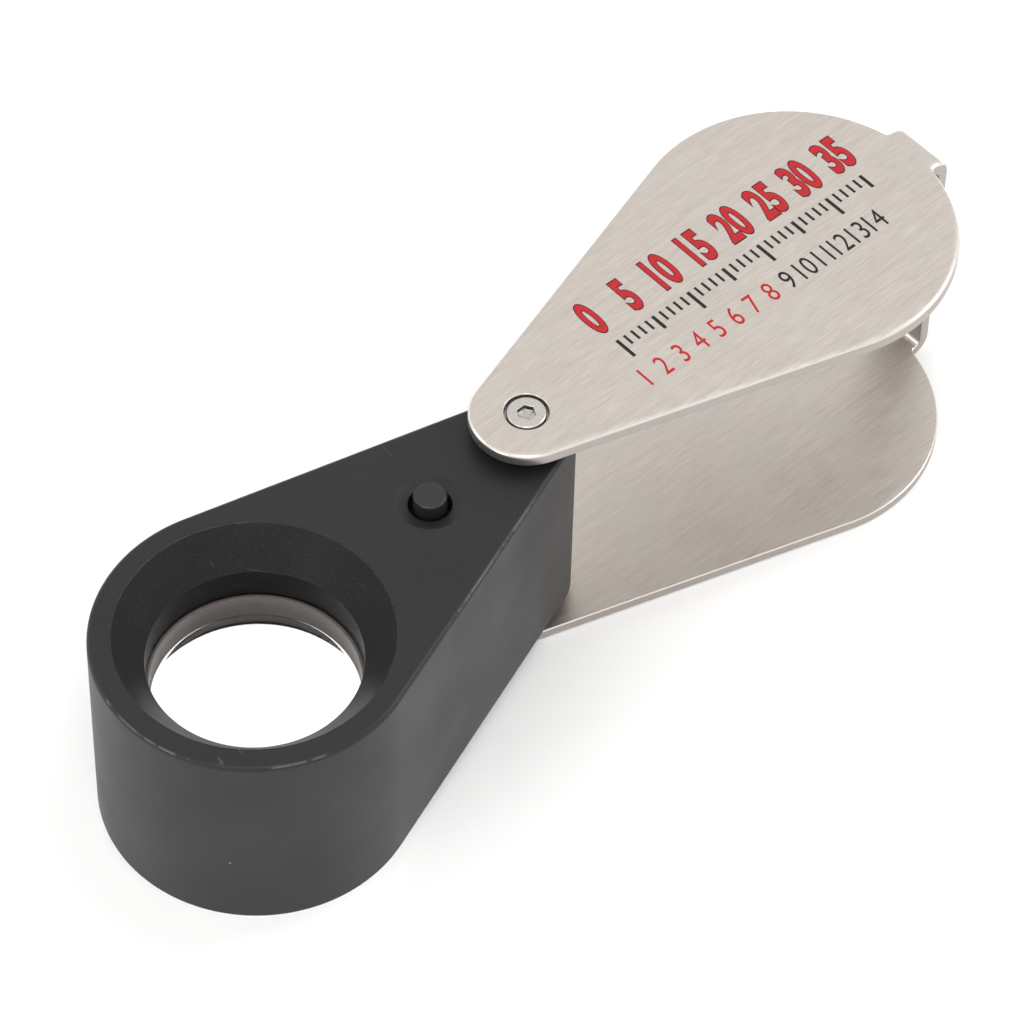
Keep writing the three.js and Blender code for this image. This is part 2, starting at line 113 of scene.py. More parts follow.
camera = bpy.data.objects.new("camera", bpy.data.cameras.new("camera"))
bpy.context.collection.objects.link(camera)
camera.data.lens, camera.data.sensor_width = FOCAL, SENSOR
camera.data.clip_start, camera.data.clip_end = 0.01, 20.0
camera.rotation_mode = "QUATERNION"
camera.rotation_quaternion = Matrix(np.stack([rolled_right, rolled_up, back], -1).tolist()).to_quaternion()
camera.location = placed(AIM) + back * DISTANCE * MM
bpy.context.scene.camera = camera
print("camera at", [round(v, 3) for v in camera.location])

# %% [markdown]
# ## Studio
# The floor is a pale sheet, and the room round it is an even white, because brushed steel shows
# whatever surrounds it: an even room gives the even, satin tone of a product picture. Brighter
# soft panels stand where the flat faces don't mirror them but the rounded edges do, which draws a
# thin highlight. A low one on the left gives the cone round the lens its streak. Standard colour
# management keeps white white.

# %% Studio
ROOM = 1.02                          # strength of the room's even light
FLOOR_WHITE, FLOOR_SIZE = 0.97, 6.0  # reflectance, and metres a side
PANELS = {                           # name: (position in metres, diameter in metres, watts)
    "left panel": ((-0.31, -0.31, 0.73), 0.28, 1.1),
    "right panel": ((0.57, -0.32, 0.52), 0.30, 1.4),
    "far panel": ((-0.50, 0.55, 0.40), 0.40, 0.5),
    "low panel": ((-0.78, -0.01, 0.33), 0.25, 0.8),
}


def area_light(name, position, size, power):
    """A round soft panel, in metres, turned to face the middle of the floor."""
    light = bpy.data.objects.new(name, bpy.data.lights.new(name, "AREA"))
    light.data.energy, light.data.size, light.data.shape = power, size, "DISK"
    light.location = position
    light.rotation_euler = (-Vector(position)).to_track_quat("-Z", "Y").to_euler()
    bpy.context.collection.objects.link(light)


def studio():
    world = bpy.data.worlds.new("white room")
    world.use_nodes = True
    background = world.node_tree.nodes["Background"]
    background.inputs["Color"].default_value = (1.0, 0.995, 0.985, 1.0)
    background.inputs["Strength"].default_value = ROOM
    bpy.context.scene.world = world
    bpy.context.scene.view_settings.view_transform = "Standard"
    for name, (position, size, power) in PANELS.items():
        area_light(name, position, size, power)

    half = FLOOR_SIZE / 2
    mesh = bpy.data.meshes.new("floor")
    corners = [(-half, -half, 0), (half, -half, 0), (half, half, 0), (-half, half, 0)]
    mesh.from_pydata(corners, [], [(0, 1, 2, 3)])
    floor = bpy.data.objects.new("floor", mesh)
    bpy.context.collection.objects.link(floor)
    paper = bpy.data.materials.new("paper floor")
    paper.use_nodes = True
    shader = paper.node_tree.nodes["Principled BSDF"]
    shader.inputs["Base Color"].default_value = (FLOOR_WHITE, FLOOR_WHITE, FLOOR_WHITE, 1.0)
    shader.inputs["Roughness"].default_value = 0.9
    mesh.materials.append(paper)


studio()
print("studio: room", ROOM, "floor", FLOOR_WHITE)

# %% [markdown]
# ## Surfaces from formulas
# Every new piece is put together from a few kinds of surface: a grid of points joined by quads, a
# profile turned round an axis, and a flat face with holes. Rows that end on the same points are
# welded, so the result is one closed skin. Curves get many short steps, flat faces stay flat, and
# the Weighted Normal modifier keeps large faces from being shaded by the small roundings beside them.

# %% Surface helpers
def grid(rows, wrap=True, skip=()):
    """Quads between neighbouring rows of points, round each row too where it wraps.
    skip: (row, column) of quads left open."""
    rows = np.asarray(rows, float)
    count, columns = rows.shape[:2]
    index = np.arange(count * columns).reshape(count, columns)
    after = np.roll(index, -1, axis=1)
    quads = np.stack([index[:-1], after[:-1], after[1:], index[1:]], -1)
    if not wrap:
        quads = quads[:, :-1]
    keep = np.ones(quads.shape[:2], bool)
    for row, column in skip:
        keep[row, column] = False
    return rows.reshape(-1, 3), quads[keep].tolist(), True


def flat(*loops):
    """Flat face inside the first loop of points and outside the others, cut into triangles."""
    triangles = tessellate_polygon([list(map(Vector, loop.tolist())) for loop in loops])
    return np.concatenate(loops), triangles, False


def circle(radius, z, at=(0.0, 0.0), columns=96):
    """Level ring of points at equal angles."""
    angle = np.linspace(0, 2 * math.pi, columns, endpoint=False)
    return np.stack([at[0] + radius * np.cos(angle), at[1] + radius * np.sin(angle), np.full(columns, z)], -1)


def turned(profile, at=(0.0, 0.0), columns=96):
    """Surface of revolution: each (radius, height) of the profile becomes a level ring."""
    profile = np.asarray(profile, float)
    unit = circle(1.0, 0.0, columns=columns)
    rows = profile[:, 0, None, None] * unit[None] + profile[:, 1, None, None] * np.array([0, 0, 1.0])
    return grid(rows + np.array([at[0], at[1], 0.0]))


def rounded(corners, radii, steps=5, closed=False):
    """Polyline whose corners are arcs. An arc of radius r starts r / tan(half the corner angle) before
    the corner."""
    corners = np.asarray(corners, float)
    radii = np.broadcast_to(np.asarray(radii, float), len(corners))
    stretches = []
    for i, (corner, radius) in enumerate(zip(corners, radii)):
        if radius == 0 or (not closed and i in (0, len(corners) - 1)):
            stretches.append(corner[None])
            continue
        before, after = corners[i - 1] - corner, corners[(i + 1) % len(corners)] - corner
        before, after = before / np.linalg.norm(before), after / np.linalg.norm(after)
        half = math.acos(np.clip(before @ after, -1, 1)) / 2
        centre = corner + (before + after) / np.linalg.norm(before + after) * radius / math.sin(half)
        start, end = (corner + leg * radius / math.tan(half) - centre for leg in (before, after))
        sweep = math.pi - 2 * half
        t = np.linspace(0, sweep, steps + 1)[:, None]
        stretches.append(centre + (np.sin(sweep - t) * start + np.sin(t) * end) / math.sin(sweep))
    if closed:
        stretches.append(stretches[0][:1])
    return np.concatenate(stretches)


print("surface helpers: grid, flat, circle, turned, rounded")

# %% [markdown]
# A piece is welded, its faces are turned outwards, and two values are kept on each face. `edge` is
# 1 on the narrow faces along the middle of a rounded edge, where metal wears first and where the
# steel gets a painted highlight. `cut` is 1 on the upright faces of a rolled or sheared side, which
# no polishing belt reaches, and on every other upright curved face; the steel gets painted shade there.

# %% Piece helper
WELD = 1e-6                          # metres
SHARP = math.radians(32)
EDGE_TILT, CUT_AND_SHADE_TILT = (30, 60), 62   # degrees from level
EDGE_ACROSS = 0.3 * MM


def mark_edges(mesh, curved):
    """edge is 1 on curved faces that tilt between the EDGE_TILT angles and are under EDGE_ACROSS wide.
    cut is 1 on curved faces that tilt by more than CUT_AND_SHADE_TILT."""
    count = len(mesh.polygons)
    normals = np.zeros(count * 3, np.float32)
    mesh.polygons.foreach_get("normal", normals)
    areas = np.zeros(count, np.float32)
    mesh.polygons.foreach_get("area", areas)
    tilt = np.degrees(np.arccos(np.clip(np.abs(normals.reshape(-1, 3)[:, 2]), 0, 1)))
    loop_edges = np.zeros(len(mesh.loops), np.int32)
    mesh.loops.foreach_get("edge_index", loop_edges)
    totals = np.zeros(count, np.int32)
    mesh.polygons.foreach_get("loop_total", totals)
    points = np.zeros(len(mesh.vertices) * 3, np.float32)
    mesh.vertices.foreach_get("co", points)
    ends = np.zeros(len(mesh.edges) * 2, np.int32)
    mesh.edges.foreach_get("vertices", ends)
    lengths = np.linalg.norm(np.diff(points.reshape(-1, 3)[ends.reshape(-1, 2)], axis=1)[:, 0], axis=1)
    longest = np.zeros(count)
    np.maximum.at(longest, np.repeat(np.arange(count), totals), lengths[loop_edges])
    across = areas / np.maximum(longest, 1e-9)
    # edge also places the steel's painted highlight, and cut places its painted shade.
    masks = {"edge": curved & (tilt > EDGE_TILT[0]) & (tilt < EDGE_TILT[1]) & (across < EDGE_ACROSS),
             "cut": curved & (tilt > CUT_AND_SHADE_TILT)}
    for title, mask in masks.items():
        mesh.attributes.new(title, "FLOAT", "FACE").data.foreach_set("value", mask.astype(np.float32))


def make_piece(name, parts, body, material, replaces=(), turn=0.0):
    """Joins (points, faces, smooth) parts into one object that rides on a body and stands for CAD nodes."""
    points, faces, smooth = [], [], []
    for part_points, part_faces, part_smooth in parts:
        start = sum(len(p) for p in points)
        points.append(part_points)
        faces += [[start + i for i in face] for face in part_faces]
        smooth += [part_smooth] * len(part_faces)
    mesh = bpy.data.meshes.new(name)
    mesh.from_pydata(placed(np.concatenate(points), turn).tolist(), [], faces)
    mesh.polygons.foreach_set("use_smooth", smooth)
    welded = bmesh.new()
    welded.from_mesh(mesh)
    bmesh.ops.remove_doubles(welded, verts=welded.verts, dist=WELD)
    bmesh.ops.dissolve_degenerate(welded, edges=welded.edges, dist=WELD)
    bmesh.ops.recalc_face_normals(welded, faces=welded.faces)
    open_edges = sum(not e.is_manifold for e in welded.edges)
    welded.to_mesh(mesh)
    welded.free()
    mesh.set_sharp_from_angle(angle=SHARP)
    curved = np.zeros(len(mesh.polygons), bool)
    mesh.polygons.foreach_get("use_smooth", curved)
    mark_edges(mesh, curved)
    mesh.materials.append(material)
    piece = bpy.data.objects.new(name, mesh)
    bpy.context.collection.objects.link(piece)
    even = piece.modifiers.new("even shading", "WEIGHTED_NORMAL")
    even.keep_sharp = True
    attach(piece, body)
    if replaces:
        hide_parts(*replaces)
    print(f"{name}: {len(mesh.polygons)} faces, {open_edges} open edges")
    return piece


# %% [markdown]
# Both halves share one outline, a teardrop: a small circle at the pivot, a large circle over the
# lens, and the two straight lines that touch both. Setting the outline in by some distance only
# takes that distance off both radii, so every rounding of an edge is the same loop, a bit smaller.

# %% Outlines
WIDE_STEPS, NARROW_STEPS = 96, 48
STRAIGHT_SIDE = WIDE_STEPS            # column of a teardrop's far straight side


def teardrop(narrow, wide, length):
    """Points round two circles joined by tangents. The tangents lean by asin((wide - narrow) / length)."""
    side = math.pi / 2 + math.asin((wide - narrow) / abs(length))
    far = np.linspace(-side, side, WIDE_STEPS + 1)
    near = np.linspace(side, 2 * math.pi - side, NARROW_STEPS + 1)
    x = np.concatenate([abs(length) + wide * np.cos(far), narrow * np.cos(near)])
    y = np.concatenate([wide * np.sin(far), narrow * np.sin(near)])
    return np.stack([x * np.sign(length), y], -1)


def set_in(loop, distance, open_ends=False):
    """Moves each point of a counter-clockwise loop inwards along its mitre: (n1 + n2) / (1 + n1.n2)."""
    step = np.roll(loop, -1, axis=0) - loop
    normal = np.stack([step[:, 1], -step[:, 0]], -1) / np.linalg.norm(step, axis=1)[:, None]
    before = np.roll(normal, 1, axis=0)
    if open_ends:
        before[0], normal[-1] = normal[0], before[-1]
    mitre = (before + normal) / (1 + (before * normal).sum(1))[:, None]
    return loop - distance * mitre


def at_height(loop, z):
    """Adds a height to a flat loop."""
    return np.column_stack([loop, np.full(len(loop), z)])


print("teardrop of", WIDE_STEPS + NARROW_STEPS + 2, "points")

# %% [markdown]
# # Materials
# A finish is more than one colour: it has a fine grain that breaks up reflections, a slow variation
# of tone, and damage where hands and pockets reach. Those three effects are shared by most parts
# here, so each is a node group with its own inputs, placed in every material that wants it.

# %% Node helpers
class Nodes:
    """Short names for making nodes and joining them."""

    def __init__(self, tree):
        self.tree = tree

    def make(self, kind, **settings):
        node = self.tree.nodes.new(kind)
        for key, value in settings.items():
            if hasattr(node, key):
                setattr(node, key, value)
            else:
                self.feed(node.inputs[key.replace("_", " ")], value)
        return node

    def feed(self, socket, value):
        if isinstance(value, bpy.types.NodeSocket):
            self.tree.links.new(value, socket)
        else:
            socket.default_value = value

    def sum(self, operation, a, b=0.0, c=0.0, clamp=False):
        node = self.make("ShaderNodeMath", operation=operation, use_clamp=clamp)
        for socket, value in zip(node.inputs, (a, b, c)):
            self.feed(socket, value)
        return node.outputs[0]

    def spread(self, value, low, high, to_low=0.0, to_high=1.0):
        """Value moved from low..high to another range, clamped."""
        node = self.make("ShaderNodeMapRange", clamp=True)
        for socket, number in zip(node.inputs, (value, low, high, to_low, to_high)):
            self.feed(socket, number)
        return node.outputs[0]

    def mix(self, factor, a, b):
        node = self.make("ShaderNodeMix", data_type="RGBA")
        self.feed(node.inputs[0], factor)
        self.feed(node.inputs[6], a)
        self.feed(node.inputs[7], b)
        return node.outputs[2]

    def noise(self, vector, scale, detail=2.0, roughness=0.5):
        node = self.make("ShaderNodeTexNoise", Vector=vector, Scale=scale, Detail=detail, Roughness=roughness)
        return node.outputs["Fac"]

    def place(self, vector, location=(0, 0, 0), rotation=(0, 0, 0), scale=(1, 1, 1)):
        return self.make("ShaderNodeMapping", Vector=vector, Location=location, Rotation=rotation,
                         Scale=scale).outputs[0]

    def group(self, tree, **values):
        node = self.make("ShaderNodeGroup", node_tree=tree)
        for key, value in values.items():
            self.feed(node.inputs[key.replace("_", " ")], value)
        return node

    @property
    def where(self):
        return self.make("ShaderNodeTexCoord").outputs["Object"]


def new_group(name, inputs, outputs):
    """Node group with named sockets. inputs: {name: default}, outputs: names of values."""
    tree = bpy.data.node_groups.new(name, "ShaderNodeTree")
    for title, default in inputs.items():
        socket = tree.interface.new_socket(title, in_out="INPUT", socket_type="NodeSocketFloat")
        socket.default_value = default
    for title in outputs:
        tree.interface.new_socket(title, in_out="OUTPUT", socket_type="NodeSocketFloat")
    nodes = Nodes(tree)
    return tree, nodes, nodes.make("NodeGroupInput"), nodes.make("NodeGroupOutput")


def linear(r, g, b):
    """Colour as a screen shows it, 0 to 255, to the linear values that a shader takes."""
    channels = np.array([r, g, b]) / 255
    values = np.where(channels <= 0.04045, channels / 12.92, ((channels + 0.055) / 1.055) ** 2.4)
    return (*map(float, values), 1.0)


def new_material(name, colour, roughness, metallic=0.0, **sockets):
    """Principled material with its plain values set. Returns (material, nodes, shader)."""
    material = bpy.data.materials.new(name)
    material.use_nodes = True
    shader = material.node_tree.nodes["Principled BSDF"]
    shader.inputs["Base Color"].default_value = colour
    shader.inputs["Roughness"].default_value = roughness
    shader.inputs["Metallic"].default_value = metallic
    for key, value in sockets.items():
        shader.inputs[key.replace("_", " ")].default_value = value
    return material, Nodes(material.node_tree), shader


def bump(nodes, shader, height, distance, strength=1.0):
    """Bump from a height field. distance is in metres."""
    node = nodes.make("ShaderNodeBump", Strength=strength, Distance=distance, Height=height)
    nodes.feed(shader.inputs["Normal"], node.outputs[0])


print("node helpers ready")

# %% [markdown]
# **Grain** is noise at two scales: a fine one for the texture, and a slow one for tone.
# **Wear** reads the `edge` value of each face and breaks it up with noise, so an edge is polished
# in patches. **Specks** are the dust and fibres that every black part collects: a few cells of a
# Voronoi pattern, chosen by their random colour, and thin scratches from noise stretched one way.

# %% Shared effects
def grain_group():
    tree, n, given, out = new_group("grain", {"Size": 0.0002, "Cloud Size": 0.008}, ["Fine", "Cloud"])
    for title, size, detail in (("Fine", "Size", 3.0), ("Cloud", "Cloud Size", 2.0)):
        scale = n.sum("DIVIDE", 1.0, given.outputs[size])
        n.feed(out.inputs[title], n.noise(n.where, scale, detail))
    return tree


def wear_group():
    tree, n, given, out = new_group("edge wear", {"Amount": 0.5, "Patch Size": 0.0015}, ["Mask"])
    edge = n.make("ShaderNodeAttribute", attribute_name="edge").outputs["Fac"]
    nicks = n.noise(n.where, n.sum("DIVIDE", 1.0, given.outputs["Patch Size"]), 4.0, 0.65)
    where_rubbed = n.noise(n.where, 95.0, 1.0)
    level = n.sum("ADD", n.sum("MULTIPLY", nicks, 0.5), n.sum("MULTIPLY", where_rubbed, 0.5))
    limit = n.sum("SUBTRACT", 0.72, n.sum("MULTIPLY", given.outputs["Amount"], 0.4))
    worn = n.spread(n.sum("SUBTRACT", level, limit), 0.0, 0.06)
    n.feed(out.inputs["Mask"], n.sum("MULTIPLY", edge, worn))
    return tree


def specks_group():
    """Dust: cells of a Voronoi pattern whose random number is high, near their centre. Scratches: the thin
    band where a stretched noise crosses its middle value, kept in a few patches."""
    inputs = {"Spacing": 0.0022, "Radius": 0.05, "Share": 0.14}
    tree, n, given, out = new_group("specks", inputs, ["Dust", "Scratch"])
    cells = n.make("ShaderNodeTexVoronoi", feature="F1")
    n.feed(cells.inputs["Vector"], n.where)
    n.feed(cells.inputs["Scale"], n.sum("DIVIDE", 1.0, given.outputs["Spacing"]))
    chance = n.make("ShaderNodeSeparateColor")
    n.feed(chance.inputs[0], cells.outputs["Color"])
    size = n.sum("MULTIPLY", given.outputs["Radius"], n.spread(chance.outputs[1], 0.0, 1.0, 0.3, 1.0))
    chosen = n.sum("LESS_THAN", chance.outputs[0], given.outputs["Share"])
    near = n.sum("LESS_THAN", cells.outputs["Distance"], size)
    n.feed(out.inputs["Dust"], n.sum("MULTIPLY", chosen, near))
    stretched = n.place(n.where, rotation=(0.3, 0.2, 0.6), scale=(1.0, 0.08, 1.0))
    line = n.sum("ABSOLUTE", n.sum("SUBTRACT", n.noise(stretched, 150.0, 0.0), 0.5))
    patch = n.spread(n.noise(n.where, 160.0, 2.0), 0.62, 0.68)
    n.feed(out.inputs["Scratch"], n.sum("MULTIPLY", n.spread(line, 0.0, 0.0025, 1.0, 0.0), patch))
    return tree


GRAIN, WEAR, SPECKS = grain_group(), wear_group(), specks_group()
print("shared effects:", GRAIN.name, WEAR.name, SPECKS.name)

# %% [markdown]
# ** Brushed steel.** A belt has drawn fine parallel lines along the cover. They're noise squeezed
# across and stretched along, at three widths, turned to lie along the cover. The lines tint the
# colour a little, change the roughness and make a very shallow bump, which is what spreads a
# reflection across the lines. The inner faces are cloudier than the outer ones, and a few marks come
# on top. The rolled edge is polished, and its colour is lightened as a painted highlight. The upright
# faces, the bent web's too, are darkened as painted shade; only the sheared side is really duller.

# %% Brushed steel
def brushed_group():
    """Height and tone of brush lines that run along X after turning by Turn about Z."""
    tree, n, given, out = new_group("brush lines", {"Turn": 0.0}, ["Fine", "Tone"])
    turn = n.make("ShaderNodeVectorRotate", rotation_type="Z_AXIS")
    n.feed(turn.inputs["Vector"], n.where)
    n.feed(turn.inputs["Angle"], given.outputs["Turn"])
    along = turn.outputs[0]
    fine = n.noise(n.place(along, scale=(0.05, 1.0, 1.0)), 9000.0, 2.0, 0.6)
    broad = n.noise(n.place(along, scale=(0.06, 1.0, 1.0)), 3600.0, 3.0, 0.6)
    streaks = n.noise(n.place(along, scale=(0.12, 1.0, 1.0)), 900.0, 2.0, 0.5)
    n.feed(out.inputs["Fine"], n.sum("ADD", n.sum("MULTIPLY", fine, 0.6), n.sum("MULTIPLY", broad, 0.4)))
    narrow = n.sum("ADD", n.sum("MULTIPLY", fine, 0.5), n.sum("MULTIPLY", streaks, 0.08))
    n.feed(out.inputs["Tone"], n.sum("ADD", n.sum("MULTIPLY", broad, 0.42), narrow))
    return tree


BRUSHED = brushed_group()


def stainless_material():
    material, n, shader = new_material("brushed stainless", linear(210, 201, 194), 0.4, 1.0)
    lines = n.group(BRUSHED, Turn=-COVER_TURN)
    grain = n.group(GRAIN, Size=0.00035, Cloud_Size=0.009)
    specks = n.group(SPECKS, Spacing=0.004, Radius=0.025, Share=0.1)
    specked = n.sum("ADD", specks.outputs["Scratch"], specks.outputs["Dust"], clamp=True)
    marks = n.sum("MULTIPLY", specked, 0.3)
    tone = n.mix(n.spread(lines.outputs["Tone"], 0.36, 0.62), linear(193, 184, 176), linear(214, 206, 198))
    split = n.make("ShaderNodeSeparateXYZ", Vector=n.where)
    inside = n.spread(split.outputs[2], 0.004, 0.024, 1.0, 0.35)
    cloud = n.sum("MULTIPLY", n.spread(grain.outputs["Cloud"], 0.32, 0.7, 0.0, 0.5), inside)
    clouded = n.mix(cloud, tone, linear(204, 202, 199))
    polish_and_painted_highlight = n.make("ShaderNodeAttribute", attribute_name="edge").outputs["Fac"]
    cut = n.make("ShaderNodeAttribute", attribute_name="cut").outputs["Fac"]
    marked = n.mix(marks, clouded, linear(160, 152, 146))
    # Painted highlight: the edge faces are lightened towards near white, on top of their real lower roughness.
    bright = n.mix(n.sum("MULTIPLY", polish_and_painted_highlight, 0.7), marked, linear(240, 236, 232))
    # Painted shade: every upright face, the bent web's too, is darkened; only the sheared side is really duller.
    n.feed(shader.inputs["Base Color"], n.mix(n.sum("MULTIPLY", cut, 0.9), bright, linear(172, 165, 160)))
    rough = n.spread(n.sum("ADD", lines.outputs["Tone"], n.sum("MULTIPLY", grain.outputs["Cloud"], 0.4)),
                     0.5, 0.85, 0.34, 0.47)
    n.feed(shader.inputs["Roughness"], n.sum("SUBTRACT", rough, n.sum("MULTIPLY", polish_and_painted_highlight, 0.2)))
    bump(n, shader, lines.outputs["Fine"], 6e-6, 0.6)
    return material


STAINLESS = stainless_material()
print("brushed steel ready")

# %% [markdown]
# **Black anodised aluminium** is a hard, slightly rough oxide over bead-blasted metal, so it's a
# dark grey with a soft satin sheen and a very fine grain. The layer is thin on corners, where the
# grey metal starts to show, and it holds pale specks of dust.
# **Machined and moulded small parts** use the same effects with other values.

# %% Metals
def anodised_material(name, colour, roughness, dust=0.5, wear=0.5, **sockets):
    material, n, shader = new_material(name, colour, roughness, **sockets)
    grain = n.group(GRAIN, Size=0.00016, Cloud_Size=0.012)
    specks = n.group(SPECKS)
    worn = n.group(WEAR, Amount=wear).outputs["Mask"]
    light = tuple(min(1.0, c * 1.35 + 0.002) for c in colour[:3]) + (1.0,)
    dark = tuple(c * 0.75 for c in colour[:3]) + (1.0,)
    tone = n.mix(n.spread(grain.outputs["Fine"], 0.3, 0.7), dark, light)
    clouded = n.mix(n.spread(grain.outputs["Cloud"], 0.35, 0.65, 0.0, 0.3), tone, dark)
    rubbed = n.mix(n.sum("MULTIPLY", worn, 0.35), clouded, linear(120, 119, 118))
    marks = n.sum("ADD", n.sum("MULTIPLY", specks.outputs["Dust"], dust),
                  n.sum("MULTIPLY", specks.outputs["Scratch"], dust * 0.35), clamp=True)
    n.feed(shader.inputs["Base Color"], n.mix(marks, rubbed, linear(170, 170, 168)))
    rough = n.spread(grain.outputs["Cloud"], 0.3, 0.7, roughness - 0.04, roughness + 0.05)
    n.feed(shader.inputs["Roughness"], n.sum("SUBTRACT", rough, n.sum("MULTIPLY", worn, 0.12)))
    bump(n, shader, grain.outputs["Fine"], 9e-6, 0.5)
    return material


def turned_metal(name, colour, roughness, centre, pitch=0.00012, metallic=1.0, **sockets):
    """Metal cut on a lathe: rings of noise whose only coordinate is the distance from the axis."""
    material, n, shader = new_material(name, colour, roughness, metallic, **sockets)
    from_axis = n.place(n.where, location=(-centre[0], -centre[1], 0.0))
    flat_part = n.make("ShaderNodeVectorMath", operation="MULTIPLY")
    n.feed(flat_part.inputs[0], from_axis)
    n.feed(flat_part.inputs[1], (1.0, 1.0, 0.0))
    length = n.make("ShaderNodeVectorMath", operation="LENGTH")
    n.feed(length.inputs[0], flat_part.outputs[0])
    rings = n.make("ShaderNodeTexNoise", noise_dimensions="1D")
    n.feed(rings.inputs["W"], length.outputs["Value"])
    n.feed(rings.inputs["Scale"], 1 / pitch)
    grain = n.group(GRAIN, Size=0.0002, Cloud_Size=0.003)
    worn = n.group(WEAR, Amount=0.6, Patch_Size=0.001).outputs["Mask"]
    both = n.sum("ADD", n.sum("MULTIPLY", rings.outputs["Fac"], 0.5),
                 n.sum("MULTIPLY", grain.outputs["Fine"], 0.5))
    darker = tuple(c * 0.78 for c in colour[:3]) + (1.0,)
    tone = n.mix(n.spread(both, 0.35, 0.65), darker, colour)
    lighter = tuple(min(1.0, c * 1.25 + 0.02) for c in colour[:3]) + (1.0,)
    n.feed(shader.inputs["Base Color"], n.mix(n.sum("MULTIPLY", worn, 0.6), tone, lighter))
    n.feed(shader.inputs["Roughness"], n.spread(both, 0.3, 0.7, roughness - 0.06, roughness + 0.08))
    bump(n, shader, both, 5e-6, 0.7)
    return material


def moulded(name, colour, roughness, contrast=0.25, grain_size=0.00025, depth=8e-6, **sockets):
    """Plastic, board, foil or wire cover: tone and gloss vary, with a fine moulded texture."""
    material, n, shader = new_material(name, colour, roughness, **sockets)
    grain = n.group(GRAIN, Size=grain_size, Cloud_Size=0.004)
    worn = n.group(WEAR, Amount=0.4).outputs["Mask"]
    both = n.sum("ADD", n.sum("MULTIPLY", grain.outputs["Fine"], 0.6),
                 n.sum("MULTIPLY", grain.outputs["Cloud"], 0.4))
    dark = tuple(c * (1 - contrast) for c in colour[:3]) + (1.0,)
    light = tuple(min(1.0, c * (1 + contrast)) for c in colour[:3]) + (1.0,)
    tone = n.mix(n.spread(both, 0.35, 0.65), dark, light)
    n.feed(shader.inputs["Base Color"], n.mix(n.sum("MULTIPLY", worn, 0.3), tone, light))
    n.feed(shader.inputs["Roughness"], n.spread(both, 0.3, 0.7, roughness - 0.07, min(1.0, roughness + 0.08)))
    bump(n, shader, both, depth)
    return material


def row(x):
    """Point on the body's middle line as (x, y) metres in the row frame."""
    return placed((x, 0.0, 0.0))[:2]


LENS_X = -38.0
BUTTON_X = -13.7
ANODISED = anodised_material("black anodised", linear(27, 27, 29), 0.45, wear=0.5, Specular_IOR_Level=0.38)
BUTTON_BLACK = anodised_material("button black", linear(26, 26, 28), 0.46, dust=0.3, wear=0.5)
PLATE_BLACK = moulded("black base plate", linear(30, 30, 32), 0.5)
BARREL_BLACK = turned_metal("blackened barrel", linear(38, 36, 35), 0.35, row(LENS_X), 0.0004, metallic=0.6)
RING_BRONZE = turned_metal("ring bronze", linear(116, 109, 105), 0.42, row(LENS_X), 0.0003, metallic=0.2)
SCREW_STEEL = turned_metal("screw steel", linear(212, 207, 203), 0.3, row(0.0), 0.0001)
BASE_SCREW_STEEL = turned_metal("base screw steel", linear(200, 196, 190), 0.32, row(-24.0), 0.0001)
# Painted shade for the walls of a screw's socket.
SOCKET_SHADE_STEEL = turned_metal("socket steel with painted shade", linear(88, 82, 78), 0.2, row(0.0), 0.0001)
SPRING_STEEL = turned_metal("spring steel", linear(205, 200, 192), 0.25, row(BUTTON_X), 0.0001)
NYLON = moulded("black nylon", linear(46, 46, 48), 0.42)
PORT_STEEL = moulded("port steel", linear(196, 194, 190), 0.3, 0.1, Metallic=1.0)
PORT_TONGUE = moulded("port tongue", linear(40, 40, 42), 0.5)
print("metals and black parts ready")

# %% [markdown]
# ** Glass** is a plain Principled shader with full transmission: its look comes from the curves of
# the mesh. The **light guide** is milky plastic, and its glow is painted light, which lights the lens
# from behind so that it reads white. The remaining finishes belong to the parts inside, which show
# when the base plate is taken off.

# %% Glass, guide and electronics
def glowing(name, colour, strength, glow, roughness=0.5):
    """Milky material whose glow varies gently over it."""
    material, n, shader = new_material(name, colour, roughness, Emission_Strength=strength)
    grain = n.group(GRAIN, Size=0.0003, Cloud_Size=0.003)
    dim = tuple(c * 0.82 for c in glow[:3]) + (1.0,)
    n.feed(shader.inputs["Emission Color"], n.mix(n.spread(grain.outputs["Cloud"], 0.35, 0.65), dim, glow))
    shade = tuple(c * 0.9 for c in colour[:3]) + (1.0,)
    n.feed(shader.inputs["Base Color"], n.mix(n.spread(grain.outputs["Fine"], 0.35, 0.65), shade, colour))
    rough = n.spread(grain.outputs["Fine"], 0.3, 0.7, roughness - 0.08, roughness + 0.08)
    n.feed(shader.inputs["Roughness"], rough)
    bump(n, shader, grain.outputs["Fine"], 8e-6)
    return material


LENS_GLASS, _, _ = new_material("lens glass", (1.0, 1.0, 1.0, 1.0), 0.0, IOR=1.5, Transmission_Weight=1.0)
# Painted light: the guide glows to light the lens from behind, so that it reads white.
GUIDE_PAINTED_GLOW = glowing("frosted guide with painted glow", linear(246, 246, 242), 1.8, (1.0, 1.0, 0.99, 1.0))
EDGE_BLACK = moulded("blackened glass edge", linear(120, 117, 117), 0.6, Specular_IOR_Level=0.2)
